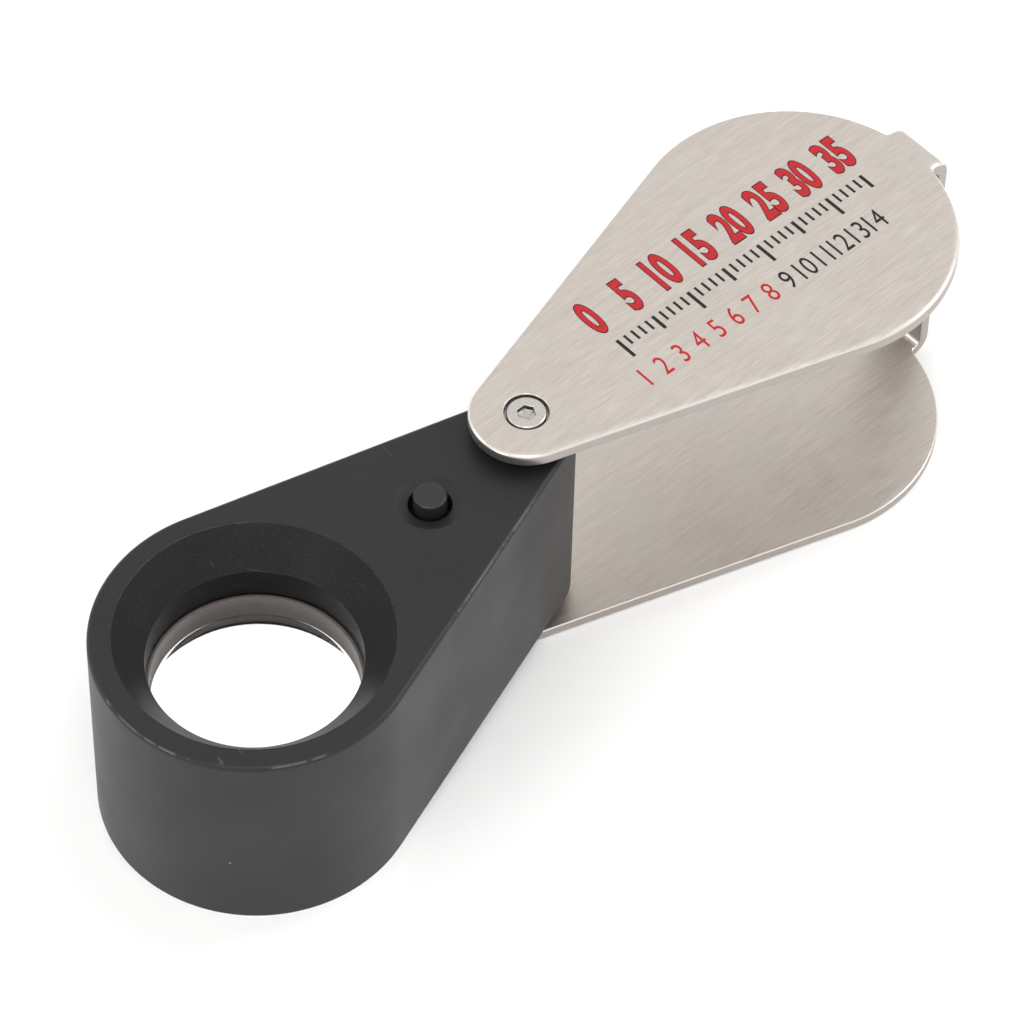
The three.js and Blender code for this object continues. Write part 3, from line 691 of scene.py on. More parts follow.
# Painted shade in the cup: the bore is darker than the body and almost unreflecting, and the cone is almost
# unreflecting.
BORE_SHADE = anodised_material("bore painted shade", linear(14, 14, 16), 0.4, dust=0.6, Specular_IOR_Level=0.06)
CONE_SHADE = anodised_material("cone painted shade", linear(42, 42, 44), 0.42, dust=0.5, Specular_IOR_Level=0.055)
FINISHES = {
    "led_phosphor": glowing("led phosphor", linear(245, 226, 122), 3.0, (1.0, 0.93, 0.7, 1.0), 0.35),
    "led_violet": glowing("led violet", linear(205, 198, 250), 1.0, (0.7, 0.6, 1.0, 1.0), 0.35),
    "led_board_white": moulded("led board white", linear(240, 239, 233), 0.45, 0.06),
    "switch_cream": moulded("switch cream", linear(216, 212, 200), 0.45, 0.06),
    "switch_case": moulded("switch case", linear(38, 38, 40), 0.42),
    "spring_steel": SPRING_STEEL,
    "solder_mask": moulded("solder mask", linear(24, 92, 58), 0.35, 0.2, 0.0006, 1.5e-5),
    "cell_foil": moulded("cell foil", linear(190, 192, 196), 0.34, 0.1, 0.001, 3e-5, Metallic=1.0),
    "port_tongue": PORT_TONGUE,
    "wire_red": moulded("red wire", linear(179, 38, 30), 0.45, 0.12),
    "wire_black": moulded("black wire", linear(34, 34, 36), 0.45, 0.12),
}
print("glass, guide and", len(FINISHES), "inner finishes ready")

# %% [markdown]
# # The body
# The body is milled from one bar of aluminium. Its outside is the teardrop, with a 0.6 mm rounding
# at both ends, so it's one grid: a loop of points at each height of the edge profile. The straight
# side facing the port is left open in that grid and filled by a flat face with the slot cut out.

# %% Body sizes
NARROW_R, WIDE_R = 5.2, 16.6
EDGE = 0.6
CUP_R, CUP_DEPTH = 14.2, 4.0
BORE_R, SHOULDER_Z, BARREL_POCKET_R = 11.0, 17.9, 12.5
WELL_R, WELL_TOP = 15.2, 7.5
RECESS, RECESS_INSET, RECESS_END = 1.3, 1.0, -4.2
DISH_R, DISH_DEPTH, BUTTON_HOLE_R = 3.6, 0.7, 2.25
POCKET_NEAR, POCKET_FAR, POCKET_TOP, POCKET_WALL = -8.0, -21.8, 22.8, 1.9
PASSAGE_TOP = 10.5
BASE_SCREWS = ((-6.2, 0.0), (-24.0, 10.0), (-24.0, -10.0))
LEAN = math.asin((WIDE_R - NARROW_R) / abs(LENS_X))


def half_width(x):
    """Half the body's width at x: the distance from the middle line to the leaning side."""
    return (NARROW_R + abs(x) * math.sin(LEAN)) / math.cos(LEAN)


def edge_profile(low, high, radius, steps=8):
    """(inset, z) up a wall whose two edges are rounded, starting and ending on the flat faces."""
    return rounded([(3 * radius, low), (0, low), (0, high), (3 * radius, high)], radius, steps)[1:-1]


print("body leans", round(math.degrees(LEAN), 2), "degrees a side")

# %% [markdown]
# The charging port looks out of the leaning side wall, so it has a frame of its own: u points out
# of the wall, v lies along it and z is up. Slot, socket and tongue are all drawn in that frame.

# %% Port frame
PORT_X, PORT_HALF_W, PORT_HALF_H, PORT_GAP = -17.0, 3.75, 1.3, 0.25
tongue_low, tongue_high = heights("usb_tongue")
PORT_Z = (tongue_low + tongue_high) / 2
port_u = np.array([math.sin(LEAN), math.cos(LEAN), 0.0])
port_v = np.array([-math.cos(LEAN), math.sin(LEAN), 0.0])
port_mouth = np.array([PORT_X, half_width(PORT_X), PORT_Z])


def port_loop(half_w, half_h, corner, u):
    """Rounded rectangle in the port's frame at distance u out of the wall."""
    box = [(half_w, -half_h), (half_w, half_h), (-half_w, half_h), (-half_w, -half_h)]
    loop = rounded(box, corner, 6, closed=True)[:-1]
    return port_mouth + u * port_u + loop[:, :1] * port_v + loop[:, 1:] * np.array([0.0, 0.0, 1.0])


print("port at", port_mouth.round(2))

# %% Body outside
def body_outside():
    profile = edge_profile(0.0, BODY_H, EDGE)
    rows = [at_height(teardrop(NARROW_R - inset, WIDE_R - inset, LENS_X), z) for inset, z in profile]
    wall = int(np.argmax(np.diff(profile[:, 1])))
    slot = port_loop(PORT_HALF_W + PORT_GAP, PORT_HALF_H + PORT_GAP, 0.5, 0.0)
    side = [rows[wall][STRAIGHT_SIDE], rows[wall][STRAIGHT_SIDE + 1],
            rows[wall + 1][STRAIGHT_SIDE + 1], rows[wall + 1][STRAIGHT_SIDE]]
    return rows, [grid(rows, skip=[(wall, STRAIGHT_SIDE)]), flat(np.array(side), slot)], slot


outside_rows, outside_parts, port_slot = body_outside()
print("outside:", len(outside_rows), "rows")

# %% [markdown]
# From above, a cone leads the eye down to a straight bore over the lens. Round the button there is
# a shallow dish, part of a sphere, so a thumb finds it. Both are turned profiles that start on the
# flat top face, a little outside their own edge, which lets that edge have its small rounding.

# %% Top face, cup and dish
def cup_profile():
    corners = [(CUP_R + 0.4, BODY_H), (CUP_R, BODY_H), (BORE_R, BODY_H - CUP_DEPTH),
               (BORE_R, SHOULDER_Z), (BARREL_POCKET_R, SHOULDER_Z), (BARREL_POCKET_R, WELL_TOP)]
    return rounded(corners, [0, 0.1, 0.1, 0, 0, 0])


def dish_profile():
    """Arc of a sphere. Its radius is (r * r + d * d) / (2 d) for a dish of radius r and depth d."""
    sphere = (DISH_R ** 2 + DISH_DEPTH ** 2) / (2 * DISH_DEPTH)
    r = np.linspace(DISH_R, BUTTON_HOLE_R, 10)
    arc = np.stack([r, BODY_H - DISH_DEPTH + sphere - np.sqrt(sphere ** 2 - r ** 2)], -1)
    corners = np.concatenate([[(DISH_R + 0.3, BODY_H)], arc, [(BUTTON_HOLE_R, POCKET_TOP)]])
    radii = np.zeros(len(corners))
    radii[1], radii[-2] = 0.3, 0.12
    return rounded(corners, radii)


cup, dish = cup_profile(), dish_profile()
top_parts = [
    flat(outside_rows[-1], circle(cup[0, 0], BODY_H, (LENS_X, 0)), circle(dish[0, 0], BODY_H, (BUTTON_X, 0))),
    turned(cup, (LENS_X, 0)),
    turned(dish, (BUTTON_X, 0)),
]
print("cup and dish:", len(cup), "and", len(dish), "profile points")

# %% [markdown]
# The underside is a shallow recess for the base plate. Above it are a round well for the lights and
# a wedge-shaped pocket for the switch, board and cell, joined by a passage for two wires. Each is a
# loop of points carried straight up, and each ceiling is a flat face with holes for what goes on up.

# %% Recess, well and pocket
def recess_loop(inset, end_x):
    """The body's outline set in, cut off square near the pivot."""
    side = math.pi / 2 + LEAN
    far = np.linspace(-side, side, WIDE_STEPS + 1)
    wide = WIDE_R - inset
    half = half_width(end_x) - inset / math.cos(LEAN)
    x = np.concatenate([LENS_X - wide * np.cos(far), [end_x, end_x]])
    y = np.concatenate([wide * np.sin(far), [half, -half]])
    return np.stack([x, y], -1)


def hollow_parts():
    passage = math.radians(9.375)                       # half the passage's width seen from the lens axis
    half = WELL_R * math.sin(passage)
    near, far = half_width(POCKET_NEAR) - POCKET_WALL, half_width(POCKET_FAR) - POCKET_WALL
    arc = np.linspace(passage, 2 * math.pi - passage, 92)
    well = np.stack([LENS_X + WELL_R * np.cos(arc), WELL_R * np.sin(arc)], -1)
    wedge = np.array([(POCKET_FAR, -half), (POCKET_FAR, -far), (POCKET_NEAR, -near),
                      (POCKET_NEAR, near), (POCKET_FAR, far), (POCKET_FAR, half)])
    keyhole = np.concatenate([well, wedge])
    lip = WELL_R - 2.0
    duct = np.array([(POCKET_FAR, -half), well[-1], (LENS_X + lip, -half), (LENS_X + lip, half), well[0],
                     (POCKET_FAR, half)])
    ceiling = np.concatenate([well, duct[2:4]])
    recess = recess_loop(RECESS_INSET, RECESS_END)
    walls = [at_height(wedge, z) for z in (WELL_TOP, PASSAGE_TOP, POCKET_TOP)]
    inner_slot = port_slot - POCKET_WALL * math.cos(LEAN) * port_u
    port_wall = np.array([walls[1][3], walls[1][4], walls[2][4], walls[2][3]])
    screws = [circle(1.0, RECESS, at, 24) for at in BASE_SCREWS]
    return [
        flat(outside_rows[0], at_height(recess, 0.0)),
        grid([at_height(recess, 0.0), at_height(recess, RECESS)]),
        flat(at_height(recess, RECESS), at_height(keyhole, RECESS), *screws),
        *[turned([(1.0, RECESS), (1.0, 6.0), (0.0, 6.0)], at, 24) for at in BASE_SCREWS],
        grid([at_height(keyhole, RECESS), at_height(keyhole, WELL_TOP)]),
        flat(at_height(ceiling, WELL_TOP), circle(BARREL_POCKET_R, WELL_TOP, (LENS_X, 0))),
        grid([at_height(duct, WELL_TOP), at_height(duct, PASSAGE_TOP)], wrap=False),
        flat(at_height(duct, PASSAGE_TOP)),
        grid(walls, skip=[(0, 5), (1, 3)]),
        flat(port_wall, inner_slot),
        grid([port_slot, inner_slot]),
        flat(at_height(wedge, POCKET_TOP), circle(BUTTON_HOLE_R, POCKET_TOP, (BUTTON_X, 0))),
    ]


body_shell = make_piece("body_shell", outside_parts + top_parts + hollow_parts(), "loupe",
                        ANODISED, ["body_housing"])


def finish_part(piece, material, at, radius, low, high, tilt=(0.0, 90.0)):
    """Gives one more material to the faces within a radius of an upright axis, between two heights, whose
    normals tilt from the vertical by angles in the range."""
    mesh = piece.data
    count = len(mesh.polygons)
    centres, normals = np.zeros(count * 3, np.float32), np.zeros(count * 3, np.float32)
    mesh.polygons.foreach_get("center", centres)
    mesh.polygons.foreach_get("normal", normals)
    local = (centres.reshape(-1, 3) - placed((at[0], at[1], 0.0))) / MM
    angle = np.degrees(np.arccos(np.clip(np.abs(normals.reshape(-1, 3)[:, 2]), 0, 1)))
    chosen = (np.hypot(local[:, 0], local[:, 1]) < radius) & (local[:, 2] > low) & (local[:, 2] < high)
    chosen &= (angle >= tilt[0]) & (angle <= tilt[1])
    slots = np.zeros(count, np.int32)
    mesh.polygons.foreach_get("material_index", slots)
    slots[chosen] = len(mesh.materials)
    mesh.materials.append(material)
    mesh.polygons.foreach_set("material_index", slots)
    print(f"{piece.name}: {int(chosen.sum())} faces in {material.name}")


cone_low = BODY_H - CUP_DEPTH
# Painted shade: the bore's wall and the cone take the darker, almost unreflecting finishes.
finish_part(body_shell, BORE_SHADE, (LENS_X, 0.0), BORE_R + 0.02, SHOULDER_Z - 0.5, cone_low - 0.05)
finish_part(body_shell, CONE_SHADE, (LENS_X, 0.0), CUP_R - 0.05, cone_low, BODY_H - 0.05, (45.0, 60.0))

# %% [markdown]
# # The cover
# The cover is one strip of 1.5 mm steel: two teardrop plates joined by a narrow web, bent twice.
# Stamping rolls its outer edge over, 0.75 mm wide and 0.48 mm deep, which catches the light as a thin
# bright line. A small hollow fillet leads from each plate's rim into the web. The edge profile is
# carried round each plate's outline, and then on along the bends, so all of it is one skin.

# %% Cover sizes
COVER_NARROW_R, COVER_WIDE_R = 6.0, 17.3
SHEET, GAP = 1.5, 1.3
PLATE_TOP = BODY_H + GAP + SHEET
WEB_X, WEB_HALF, BEND_R = 57.7, 3.4, 2.3
FILLET_R = 0.5
ROLL_W, ROLL_H = 0.75, 0.48
SEAT_R, SEAT_DEPTH, PIVOT_HOLE_R = 2.35, 1.0, 1.65
BEND_X = WEB_X - BEND_R
PLATE_MIDDLE = BODY_H / 2


def plate_outline():
    """Teardrop with a tab at its wide end, open across the tab. A fillet touches the rim from outside and the
    tab's side, so its centre lies at the rim's radius + its own, and at the tab's half width + its own."""
    side = math.pi / 2 + math.asin((COVER_WIDE_R - COVER_NARROW_R) / COVER_L)
    meets = math.asin((WEB_HALF + FILLET_R) / (COVER_WIDE_R + FILLET_R))
    far = np.linspace(meets, side, 64)
    near = np.linspace(side, 2 * math.pi - side, 49)
    round_end = np.stack([COVER_L + COVER_WIDE_R * np.cos(far), COVER_WIDE_R * np.sin(far)], -1)
    pivot_end = COVER_NARROW_R * np.stack([np.cos(near), np.sin(near)], -1)
    centre = np.array([COVER_L + (COVER_WIDE_R + FILLET_R) * math.cos(meets), WEB_HALF + FILLET_R])
    sweep = np.linspace(-math.pi / 2, meets - math.pi, 9)[:-1]
    fillet = centre + FILLET_R * np.stack([np.cos(sweep), np.sin(sweep)], -1)
    tab = np.concatenate([[(BEND_X, WEB_HALF)], fillet])
    across = np.array([1.0, -1.0])
    return np.concatenate([tab, round_end, pivot_end, round_end[::-1] * across, tab[::-1] * across])


def sheet_profile():
    """(inset, depth) over the sheet's edge: a quarter ellipse, the cut edge, then a small rounding inside."""
    t = np.linspace(math.pi / 2, 0, 13)
    rolled = np.stack([ROLL_W * (1 - np.cos(t)), ROLL_H * (1 - np.sin(t))], -1)
    t = np.linspace(0, math.pi / 2, 5)
    inner = np.stack([0.18 * (1 - np.cos(t)), SHEET - 0.18 + 0.18 * np.sin(t)], -1)
    return np.concatenate([rolled, inner])


outline, profile = plate_outline(), sheet_profile()
print("plate outline of", len(outline), "points, edge profile of", len(profile))

# %% Plates and web
def plate(upper):
    """One plate: its rolled edge, its two faces, and the stepped seat of the pivot screw."""
    def z(depth):
        return PLATE_TOP - depth if upper else 2 * PLATE_MIDDLE - PLATE_TOP + depth
    rows = [at_height(set_in(outline, inset, open_ends=True), z(depth)) for inset, depth in profile]
    seat = rounded([(SEAT_R + 0.3, 0.0), (SEAT_R, 0.0), (SEAT_R, SEAT_DEPTH), (PIVOT_HOLE_R, SEAT_DEPTH),
                    (PIVOT_HOLE_R, SHEET)], [0, 0.14, 0, 0, 0])
    seat_rows = [(radius, z(depth)) for radius, depth in seat]
    return [grid(rows, wrap=False), turned(seat_rows),
            flat(rows[0], circle(seat[0, 0], z(0.0))), flat(rows[-1], circle(PIVOT_HOLE_R, z(SHEET)))]


def web():
    """The edge profile on both sides of the strip, carried down the two bends:
    point = path - depth * normal."""
    turn = np.linspace(math.pi / 2, 0, 15)
    bend = np.stack([BEND_X + BEND_R * np.cos(turn), PLATE_TOP - BEND_R + BEND_R * np.sin(turn)], -1)
    normal = np.stack([np.cos(turn), np.sin(turn)], -1)
    flip = np.array([1.0, -1.0])
    path = np.concatenate([bend, (bend * flip + np.array([0.0, 2 * PLATE_MIDDLE]))[::-1]])
    normal = np.concatenate([normal, (normal * flip)[::-1]])
    inset = np.concatenate([profile[:, 0], profile[::-1, 0]])
    depth = np.concatenate([profile[:, 1], profile[::-1, 1]])
    side = np.repeat([1.0, -1.0], len(profile))
    xz = path[:, None, :] - depth[None, :, None] * normal[:, None, :]
    y = np.broadcast_to(side * (WEB_HALF - inset), xz.shape[:2])
    return [grid(np.stack([xz[..., 0], y, xz[..., 1]], -1))]


make_piece("cover_skin", plate(True) + plate(False) + web(), "cover", STAINLESS,
           ["cover_shell"], COVER_TURN)

# %% [markdown]
# # Screws and washers
# A screw head is turned, but its socket isn't round. Its rings keep their points at equal angles
# and only change their radius with the angle: a hexagon's is apothem / cos(angle from the middle of
# its side), a cross's is the nearer of its arm's side and its arm's end.

# %% Screws
RING = 96                            # points round a screw
HEAD_R, SHANK_R, THREAD_R = 2.1, 1.5, 1.15
SOCKET_R, SOCKET_DEPTH = 1.0, 0.6
WASHER_R = 3.5


def hexagon(across_corners):
    """Radius of a hexagon at equal angles."""
    angle = np.linspace(0, 2 * math.pi, RING, endpoint=False)
    return across_corners * math.cos(math.pi / 6) / np.cos(angle % (math.pi / 3) - math.pi / 6)


def cross(arm, half):
    """Radius of a cross at equal angles."""
    angle = np.linspace(0, 2 * math.pi, RING, endpoint=False) % (math.pi / 2)
    angle = np.minimum(angle, math.pi / 2 - angle)
    return np.minimum(arm / np.cos(angle), half / np.maximum(np.sin(angle), 1e-6))


def ringed(profile, at=(0.0, 0.0)):
    """Like turned, but each radius may be an array over the angle."""
    unit = circle(1.0, 0.0, columns=RING)[:, :2]
    rows = [at_height(np.asarray(at) + unit * np.broadcast_to(r, RING)[:, None], z) for r, z in profile]
    return grid(rows)


def pivot_screw(upper):
    head_top, head_floor, round_edge = PLATE_TOP - 0.05, PLATE_TOP - 0.9, 0.28
    tip, shoulder = BODY_H - 6.2, BODY_H + 0.1
    shank = [(0.0, tip), (THREAD_R, tip), (THREAD_R, shoulder), (SHANK_R, shoulder), (SHANK_R, head_floor)]
    rim = rounded([(SHANK_R, head_floor), (HEAD_R, head_floor), (HEAD_R, head_top), (SHANK_R, head_top)],
                  [0, 0.06, round_edge, 0], 6)
    socket = [(hexagon(SOCKET_R + 0.08), head_top), (hexagon(SOCKET_R), head_top - 0.07),
              (hexagon(SOCKET_R), head_top - SOCKET_DEPTH), (0.0, head_top - 0.95)]
    points = shank + [tuple(p) for p in rim[1:]] + socket
    if not upper:
        points = [(r, BODY_H - z) for r, z in points]
    return [ringed(points)]


for side, upper in (("upper", True), ("lower", False)):
    screw = make_piece(f"{side}_pivot_screw_head", pivot_screw(upper), "loupe", SCREW_STEEL,
                       [f"{side}_pivot_screw"])
    head = PLATE_TOP - 1.2, PLATE_TOP - 0.06
    if not upper:
        head = BODY_H - head[1], BODY_H - head[0]
    # Painted shade: the socket's upright walls take a darker steel.
    finish_part(screw, SOCKET_SHADE_STEEL, (0.0, 0.0), SOCKET_R + 0.12, *head, (60.0, 90.0))
    low, high = heights(f"{side}_washer")
    washer = rounded([(PIVOT_HOLE_R, low), (WASHER_R, low), (WASHER_R, high), (PIVOT_HOLE_R, high)], 0.15, 4,
                     closed=True)
    make_piece(f"{side}_nylon_washer", [turned(washer)], "loupe", NYLON, [f"{side}_washer"])

# %% [markdown]
# # Button
# The button is a plain turned cap standing 1.1 mm out of its dish, with a wide flange inside the
# body that stops it from falling out. Its edge is rounded where a thumb rubs it.

# %% Button cap
BUTTON_R, FLANGE_R = 1.75, 2.65
BUTTON_RISE, FLANGE_T = 1.1, 0.8


def button():
    top, flange_top = BODY_H + BUTTON_RISE, POCKET_TOP - 0.3
    flange_low = flange_top - FLANGE_T
    corners = [(0.0, flange_low), (FLANGE_R, flange_low), (FLANGE_R, flange_top), (BUTTON_R, flange_top),
               (BUTTON_R, top), (0.0, top)]
    return [turned(rounded(corners, [0, 0.15, 0.15, 0.1, 0.32, 0], 8), (BUTTON_X, 0))]


make_piece("button_top", button(), "button", BUTTON_BLACK, ["button_cap"])

# %% [markdown]
# # Lens
# A triplet is three glasses cemented into one block: a strong crown between two flints, which
# cancels the colour fringes of a single lens. Cement hides the joints, so the eye sees one thick
# double-convex glass. It's one closed surface here, because three touching glass meshes would
# each reflect. Its two faces are parts of spheres: sag = R - sqrt(R * R - r * r).

# %% Triplet and its mount
LENS_R, FRONT_CURVE = 11.0, 24.0
LIP_R, RING_R, MOUNT_BORE_R, BARREL_R = 10.7, 11.1, 11.25, 12.2
GUIDE_LOW_R, GUIDE_HIGH_R, GUIDE_WALL_R = 11.8, 11.3, 12.6
GUIDE_FOOT_R, GUIDE_FOOT_T = 14.9, 1.2
lens_low, _ = heights("lens_rear_element")
_, lens_high = heights("lens_front_element")
sag_at_rim = FRONT_CURVE - math.sqrt(FRONT_CURVE ** 2 - LENS_R ** 2)


def lens():
    r = np.linspace(0, LENS_R - 0.12, 28)
    sag = FRONT_CURVE - np.sqrt(FRONT_CURVE ** 2 - r ** 2)
    bottom = np.stack([r, lens_low + sag], -1)
    top = np.stack([r, lens_high - sag], -1)[::-1]
    wall = np.array([(LENS_R, lens_low + sag_at_rim + 0.1), (LENS_R, lens_high - sag_at_rim - 0.1)])
    return [turned(np.concatenate([bottom, wall, top]), (LENS_X, 0), 128)]


triplet = make_piece("triplet", lens(), "loupe", LENS_GLASS,
                     ["lens_front_element", "lens_middle_element", "lens_rear_element"])
# The ground rim is lacquered black, which kills stray light.
finish_part(triplet, EDGE_BLACK, (LENS_X, 0.0), LENS_R + 1, 0.0, BODY_H, (84.0, 90.0))

barrel_low, barrel_high = heights("lens_barrel")
lens_seat = lens_low + sag_at_rim - 0.3
barrel = rounded([(LIP_R, barrel_low), (BARREL_R, barrel_low), (BARREL_R, barrel_high),
                  (MOUNT_BORE_R, barrel_high), (MOUNT_BORE_R, lens_seat), (LIP_R, lens_seat)], 0.1, 3,
                 closed=True)
make_piece("blackened_barrel", [turned(barrel, (LENS_X, 0))], "loupe", BARREL_BLACK,
           ["lens_barrel"])

ring_low, ring_high = heights("lens_retaining_ring")
ring = rounded([(LIP_R, ring_low), (RING_R, ring_low), (RING_R, ring_high), (LIP_R, ring_high)], 0.08, 4,
               closed=True)
make_piece("retaining_ring", [turned(ring, (LENS_X, 0))], "loupe", RING_BRONZE,
           ["lens_retaining_ring"])

guide_low, guide_high = heights("light_guide")
foot_top = guide_low + GUIDE_FOOT_T
guide = rounded([(GUIDE_LOW_R, guide_low), (GUIDE_FOOT_R, guide_low), (GUIDE_FOOT_R, foot_top),
                 (GUIDE_WALL_R, foot_top), (GUIDE_WALL_R, guide_high), (GUIDE_HIGH_R, guide_high)], 0.12, 4,
                closed=True)
make_piece("light_ring", [turned(guide, (LENS_X, 0))], "loupe", GUIDE_PAINTED_GLOW, ["light_guide"])

# %% [markdown]
# # Underside
# A black plate closes the bottom, with a round window for the light. It follows the body's outline
# with a small gap and is held by three cross-head screws in sunk holes.

# %% Base plate and its screws
BASE_INSET, BASE_END, WINDOW_R = 1.15, -4.35, 14.0
SUNK_R, SUNK_Z, CLEAR_R = 1.65, 0.65, 0.95      # a screw's sunk hole, its floor, and the hole through
BASE_HEAD_R, BASE_SHANK_R = 1.45, 0.75


def base_plate_parts():
    low, high = heights("base_plate")
    plan = recess_loop(BASE_INSET, BASE_END)
    edge = rounded([(0.6, low), (0, low), (0, high), (0.6, high)], 0.15, 4)[1:-1]
    rows = [at_height(set_in(plan[::-1], inset)[::-1], z) for inset, z in edge]
    hole = rounded([(WINDOW_R + 0.4, low), (WINDOW_R, low), (WINDOW_R, high)], [0, 0.2, 0], 4)
    below = [circle(SUNK_R, low, at, 48) for at in BASE_SCREWS]
    above = [circle(CLEAR_R, high, at, 48) for at in BASE_SCREWS]
    sunk = [(SUNK_R, low), (SUNK_R, SUNK_Z), (CLEAR_R, SUNK_Z), (CLEAR_R, high)]
    return [grid(rows), turned(hole, (LENS_X, 0)),
            flat(rows[0], circle(hole[0, 0], low, (LENS_X, 0)), *below),
            flat(rows[-1], circle(WINDOW_R, high, (LENS_X, 0)), *above),
            *[turned(sunk, at, 48) for at in BASE_SCREWS]]


def base_screw(at):
    """A head sunk just inside the underside, z = 0, with its shank going up."""
    face, seat, tip = 0.1, 0.6, 5.4
    head = rounded([(BASE_SHANK_R, seat), (BASE_HEAD_R, seat), (BASE_HEAD_R, face), (1.1, face)],
                   [0, 0.05, 0.16, 0], 4)
    points = [(0.0, tip), (BASE_SHANK_R, tip)] + [tuple(p) for p in head]
    points += [(cross(0.85, 0.19), face), (cross(0.7, 0.13), face + 0.3), (0.0, 0.45)]
    return [ringed(points, at)]


make_piece("base_cover", base_plate_parts(), "loupe", PLATE_BLACK, ["base_plate"])
for number, at in enumerate(BASE_SCREWS, 1):
    make_piece(f"base_screw_head_{number}", base_screw(at), "loupe", BASE_SCREW_STEEL,
               [f"base_screw_{number}"])

# %% [markdown]
# # Charging port
# The socket is a tube of thin folded steel with rounded corners, closed at its back. A small
# rounded rectangle is carried out along the outside, over the lip and back in along the inside.

# %% Socket
def socket():
    back, mouth, wall = -4.7, -0.35, 0.3
    stations = [(0.0, back), (0.0, mouth - 0.12), (0.04, mouth - 0.04), (0.15, mouth), (0.26, mouth - 0.04),
                (wall, mouth - 0.12), (wall, back + 0.6)]
    rows = [port_loop(PORT_HALF_W - inset, PORT_HALF_H - inset, 0.55 - inset, u) for inset, u in stations]
    return [grid(rows), flat(rows[0]), flat(rows[-1])]


make_piece("charging_socket", socket(), "loupe", PORT_STEEL, ["usb_socket"])

# %% [markdown]
# # Parts inside
# Board, cell, switch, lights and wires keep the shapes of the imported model, which are right for
# parts that show only when the loupe is open. Each takes the finish that the record names for it.

# %% Finishes of the inner parts
INNER = {
    "led_phosphor": ["led_1", "led_2", "led_3"],
    "led_violet": ["led_4"],
    "led_board_white": ["led_board"],
    "switch_cream": ["switch_plunger"],
    "switch_case": ["switch_housing"],
    "spring_steel": ["switch_dome"],
    "solder_mask": ["main_board"],
    "cell_foil": ["battery_cell"],
    "port_tongue": ["usb_tongue"],
    "wire_red": ["battery_lead_red", "led_lead_red"],
    "wire_black": ["battery_lead_black", "led_lead_black"],
}
for finish, names in INNER.items():
    for name in names:
        for material_slot in frame["nodes"][name].material_slots:
            material_slot.material = FINISHES[finish]
print("inner parts:", sum(len(names) for names in INNER.values()))

# %% [markdown]
# # Print
# The face of the cover carries three printed rows: bold red with a dark outline, fine black, and a
# small row that changes from red to black. Here they are a plain scale: numbers every 5 mm,
# millimetre marks, and tenths of an inch numbered below. Ink is a film, so each row is a mesh one
# or two coats thick, about a hundredth of a millimetre each, that rides on the cover. A text
# object gives the digits; it's made a mesh first, and then moved as numpy points.

# %% Printed scale
INK = 0.012                          # thickness of one coat


def digits(text, offset=0.0):
    """Digits of size 1 as flat (points, faces). offset thickens the strokes."""
    curve = bpy.data.curves.new("digits", "FONT")
    curve.body, curve.size, curve.offset, curve.resolution_u = text, 1.0, offset, 6
    holder = bpy.data.objects.new("digits", curve)
    bpy.context.collection.objects.link(holder)
    mesh = bpy.data.meshes.new_from_object(holder.evaluated_get(bpy.context.evaluated_depsgraph_get()))
    bpy.data.objects.remove(holder)
    points = np.zeros(len(mesh.vertices) * 3, np.float32)
    mesh.vertices.foreach_get("co", points)
    faces = [list(face.vertices) for face in mesh.polygons]
    bpy.data.meshes.remove(mesh)
    return points.reshape(-1, 3)[:, :2].astype(float), faces


FIGURE_LOW, FIGURE_HIGH = (f(digits("8")[0][:, 1]) for f in (np.min, np.max))


def printed(text, centre_x, bottom, height, narrow, offset, thickness):
    """Text as a thin closed slab, centred on centre_x. Its digits are `height` mm tall, and `narrow` times as
    wide as the typeface draws them."""
    plain, _ = digits(text)
    points, faces = digits(text, offset)
    scale = height / (FIGURE_HIGH - FIGURE_LOW)
    middle = (plain[:, 0].min() + plain[:, 0].max()) / 2
    flat_points = np.column_stack([(points[:, 0] - middle) * scale * narrow + centre_x,
                                   (points[:, 1] - FIGURE_LOW) * scale + bottom])
    return slab(flat_points, faces, thickness)


def slab(points, faces, thickness):
    """Flat faces given a thickness: a copy above, a copy below, and a wall on every open edge."""
    count = len(points)
    both = np.concatenate([at_height(points, PLATE_TOP + thickness), at_height(points, PLATE_TOP)])
    edges = dict.fromkeys((a, b) for face in faces for a, b in zip(face, face[1:] + face[:1]))
    rim = [edge for edge in edges if edge[::-1] not in edges]
    walls = [[b, a, a + count, b + count] for a, b in rim]
    under = [[i + count for i in face[::-1]] for face in faces]
    return both, [list(face) for face in faces] + under + walls, False


def bar(x0, x1, y0, y1, thickness):
    """A short printed line."""
    return slab(np.array([(x0, y0), (x1, y0), (x1, y1), (x0, y1)], float), [[0, 1, 2, 3]], thickness)


ROW_X = 13.4                         # zero of the scale, from the pivot
large_row = [(str(number), ROW_X + number) for number in range(0, 36, 5)]
TENTH_INCH = 2.54
small_row = [(str(number), ROW_X - 1.2 + TENTH_INCH * (number - 1)) for number in range(1, 15)]


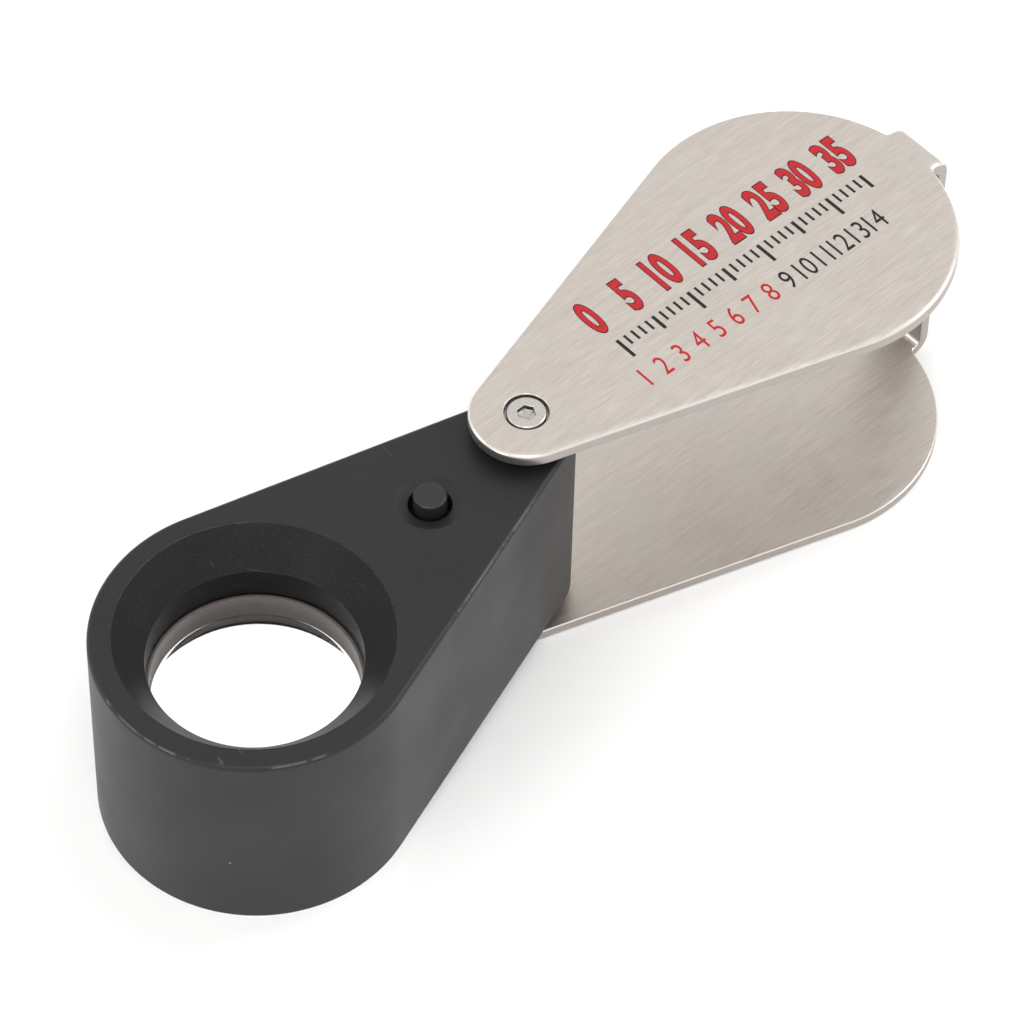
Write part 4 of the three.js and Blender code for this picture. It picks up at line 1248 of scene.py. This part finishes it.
def ink(name, colour):
    """Printing ink: a matt film, a little uneven, thinned where the brushed steel lies high."""
    material, n, shader = new_material(name, colour, 0.5, Specular_IOR_Level=0.2)
    grain = n.group(GRAIN, Size=0.00025, Cloud_Size=0.003)
    lines = n.group(BRUSHED, Turn=-COVER_TURN)
    lighter = tuple(min(1.0, c * 1.15 + 0.006) for c in colour[:3]) + (1.0,)
    thin = n.spread(n.sum("ADD", n.sum("MULTIPLY", grain.outputs["Fine"], 0.6),
                          n.sum("MULTIPLY", lines.outputs["Fine"], 0.4)), 0.4, 0.68)
    n.feed(shader.inputs["Base Color"], n.mix(thin, colour, lighter))
    n.feed(shader.inputs["Roughness"], n.spread(grain.outputs["Fine"], 0.3, 0.7, 0.36, 0.5))
    bump(n, shader, lines.outputs["Fine"], 4e-6, 0.5)
    return material


RED_INK = ink("red ink", linear(172, 34, 40))
BLACK_INK = ink("black ink", linear(30, 28, 30))
OUTLINE_INK = ink("outline ink", linear(84, 26, 30))

LARGE, SMALL = (2.75, 4.4, 0.53), (-5.9, 2.6, 0.72)    # bottom, height, narrowing
MARKS_TOP = 1.0
for name, offset, coats, material in (("scale_numbers", 0.026, 2, RED_INK),
                                      ("scale_number_outlines", 0.052, 1, OUTLINE_INK)):
    make_piece(name, [printed(t, x, *LARGE, offset, coats * INK) for t, x in large_row],
               "cover", material, turn=COVER_TURN)
marks = []
for millimetre in range(36):
    tall = 2.8 if millimetre % 10 == 0 else 2.1 if millimetre % 5 == 0 else 1.4
    half = 0.2 if millimetre % 5 == 0 else 0.15
    marks.append(bar(ROW_X + millimetre - half, ROW_X + millimetre + half, MARKS_TOP - tall, MARKS_TOP, INK))
make_piece("millimetre_marks", marks, "cover", BLACK_INK, turn=COVER_TURN)
for name, words, material in (("small_numbers_red", small_row[:8], RED_INK),
                              ("small_numbers_black", small_row[8:], BLACK_INK)):
    make_piece(name, [printed(t, x, *SMALL, 0.0, INK) for t, x in words],
               "cover", material, turn=COVER_TURN)
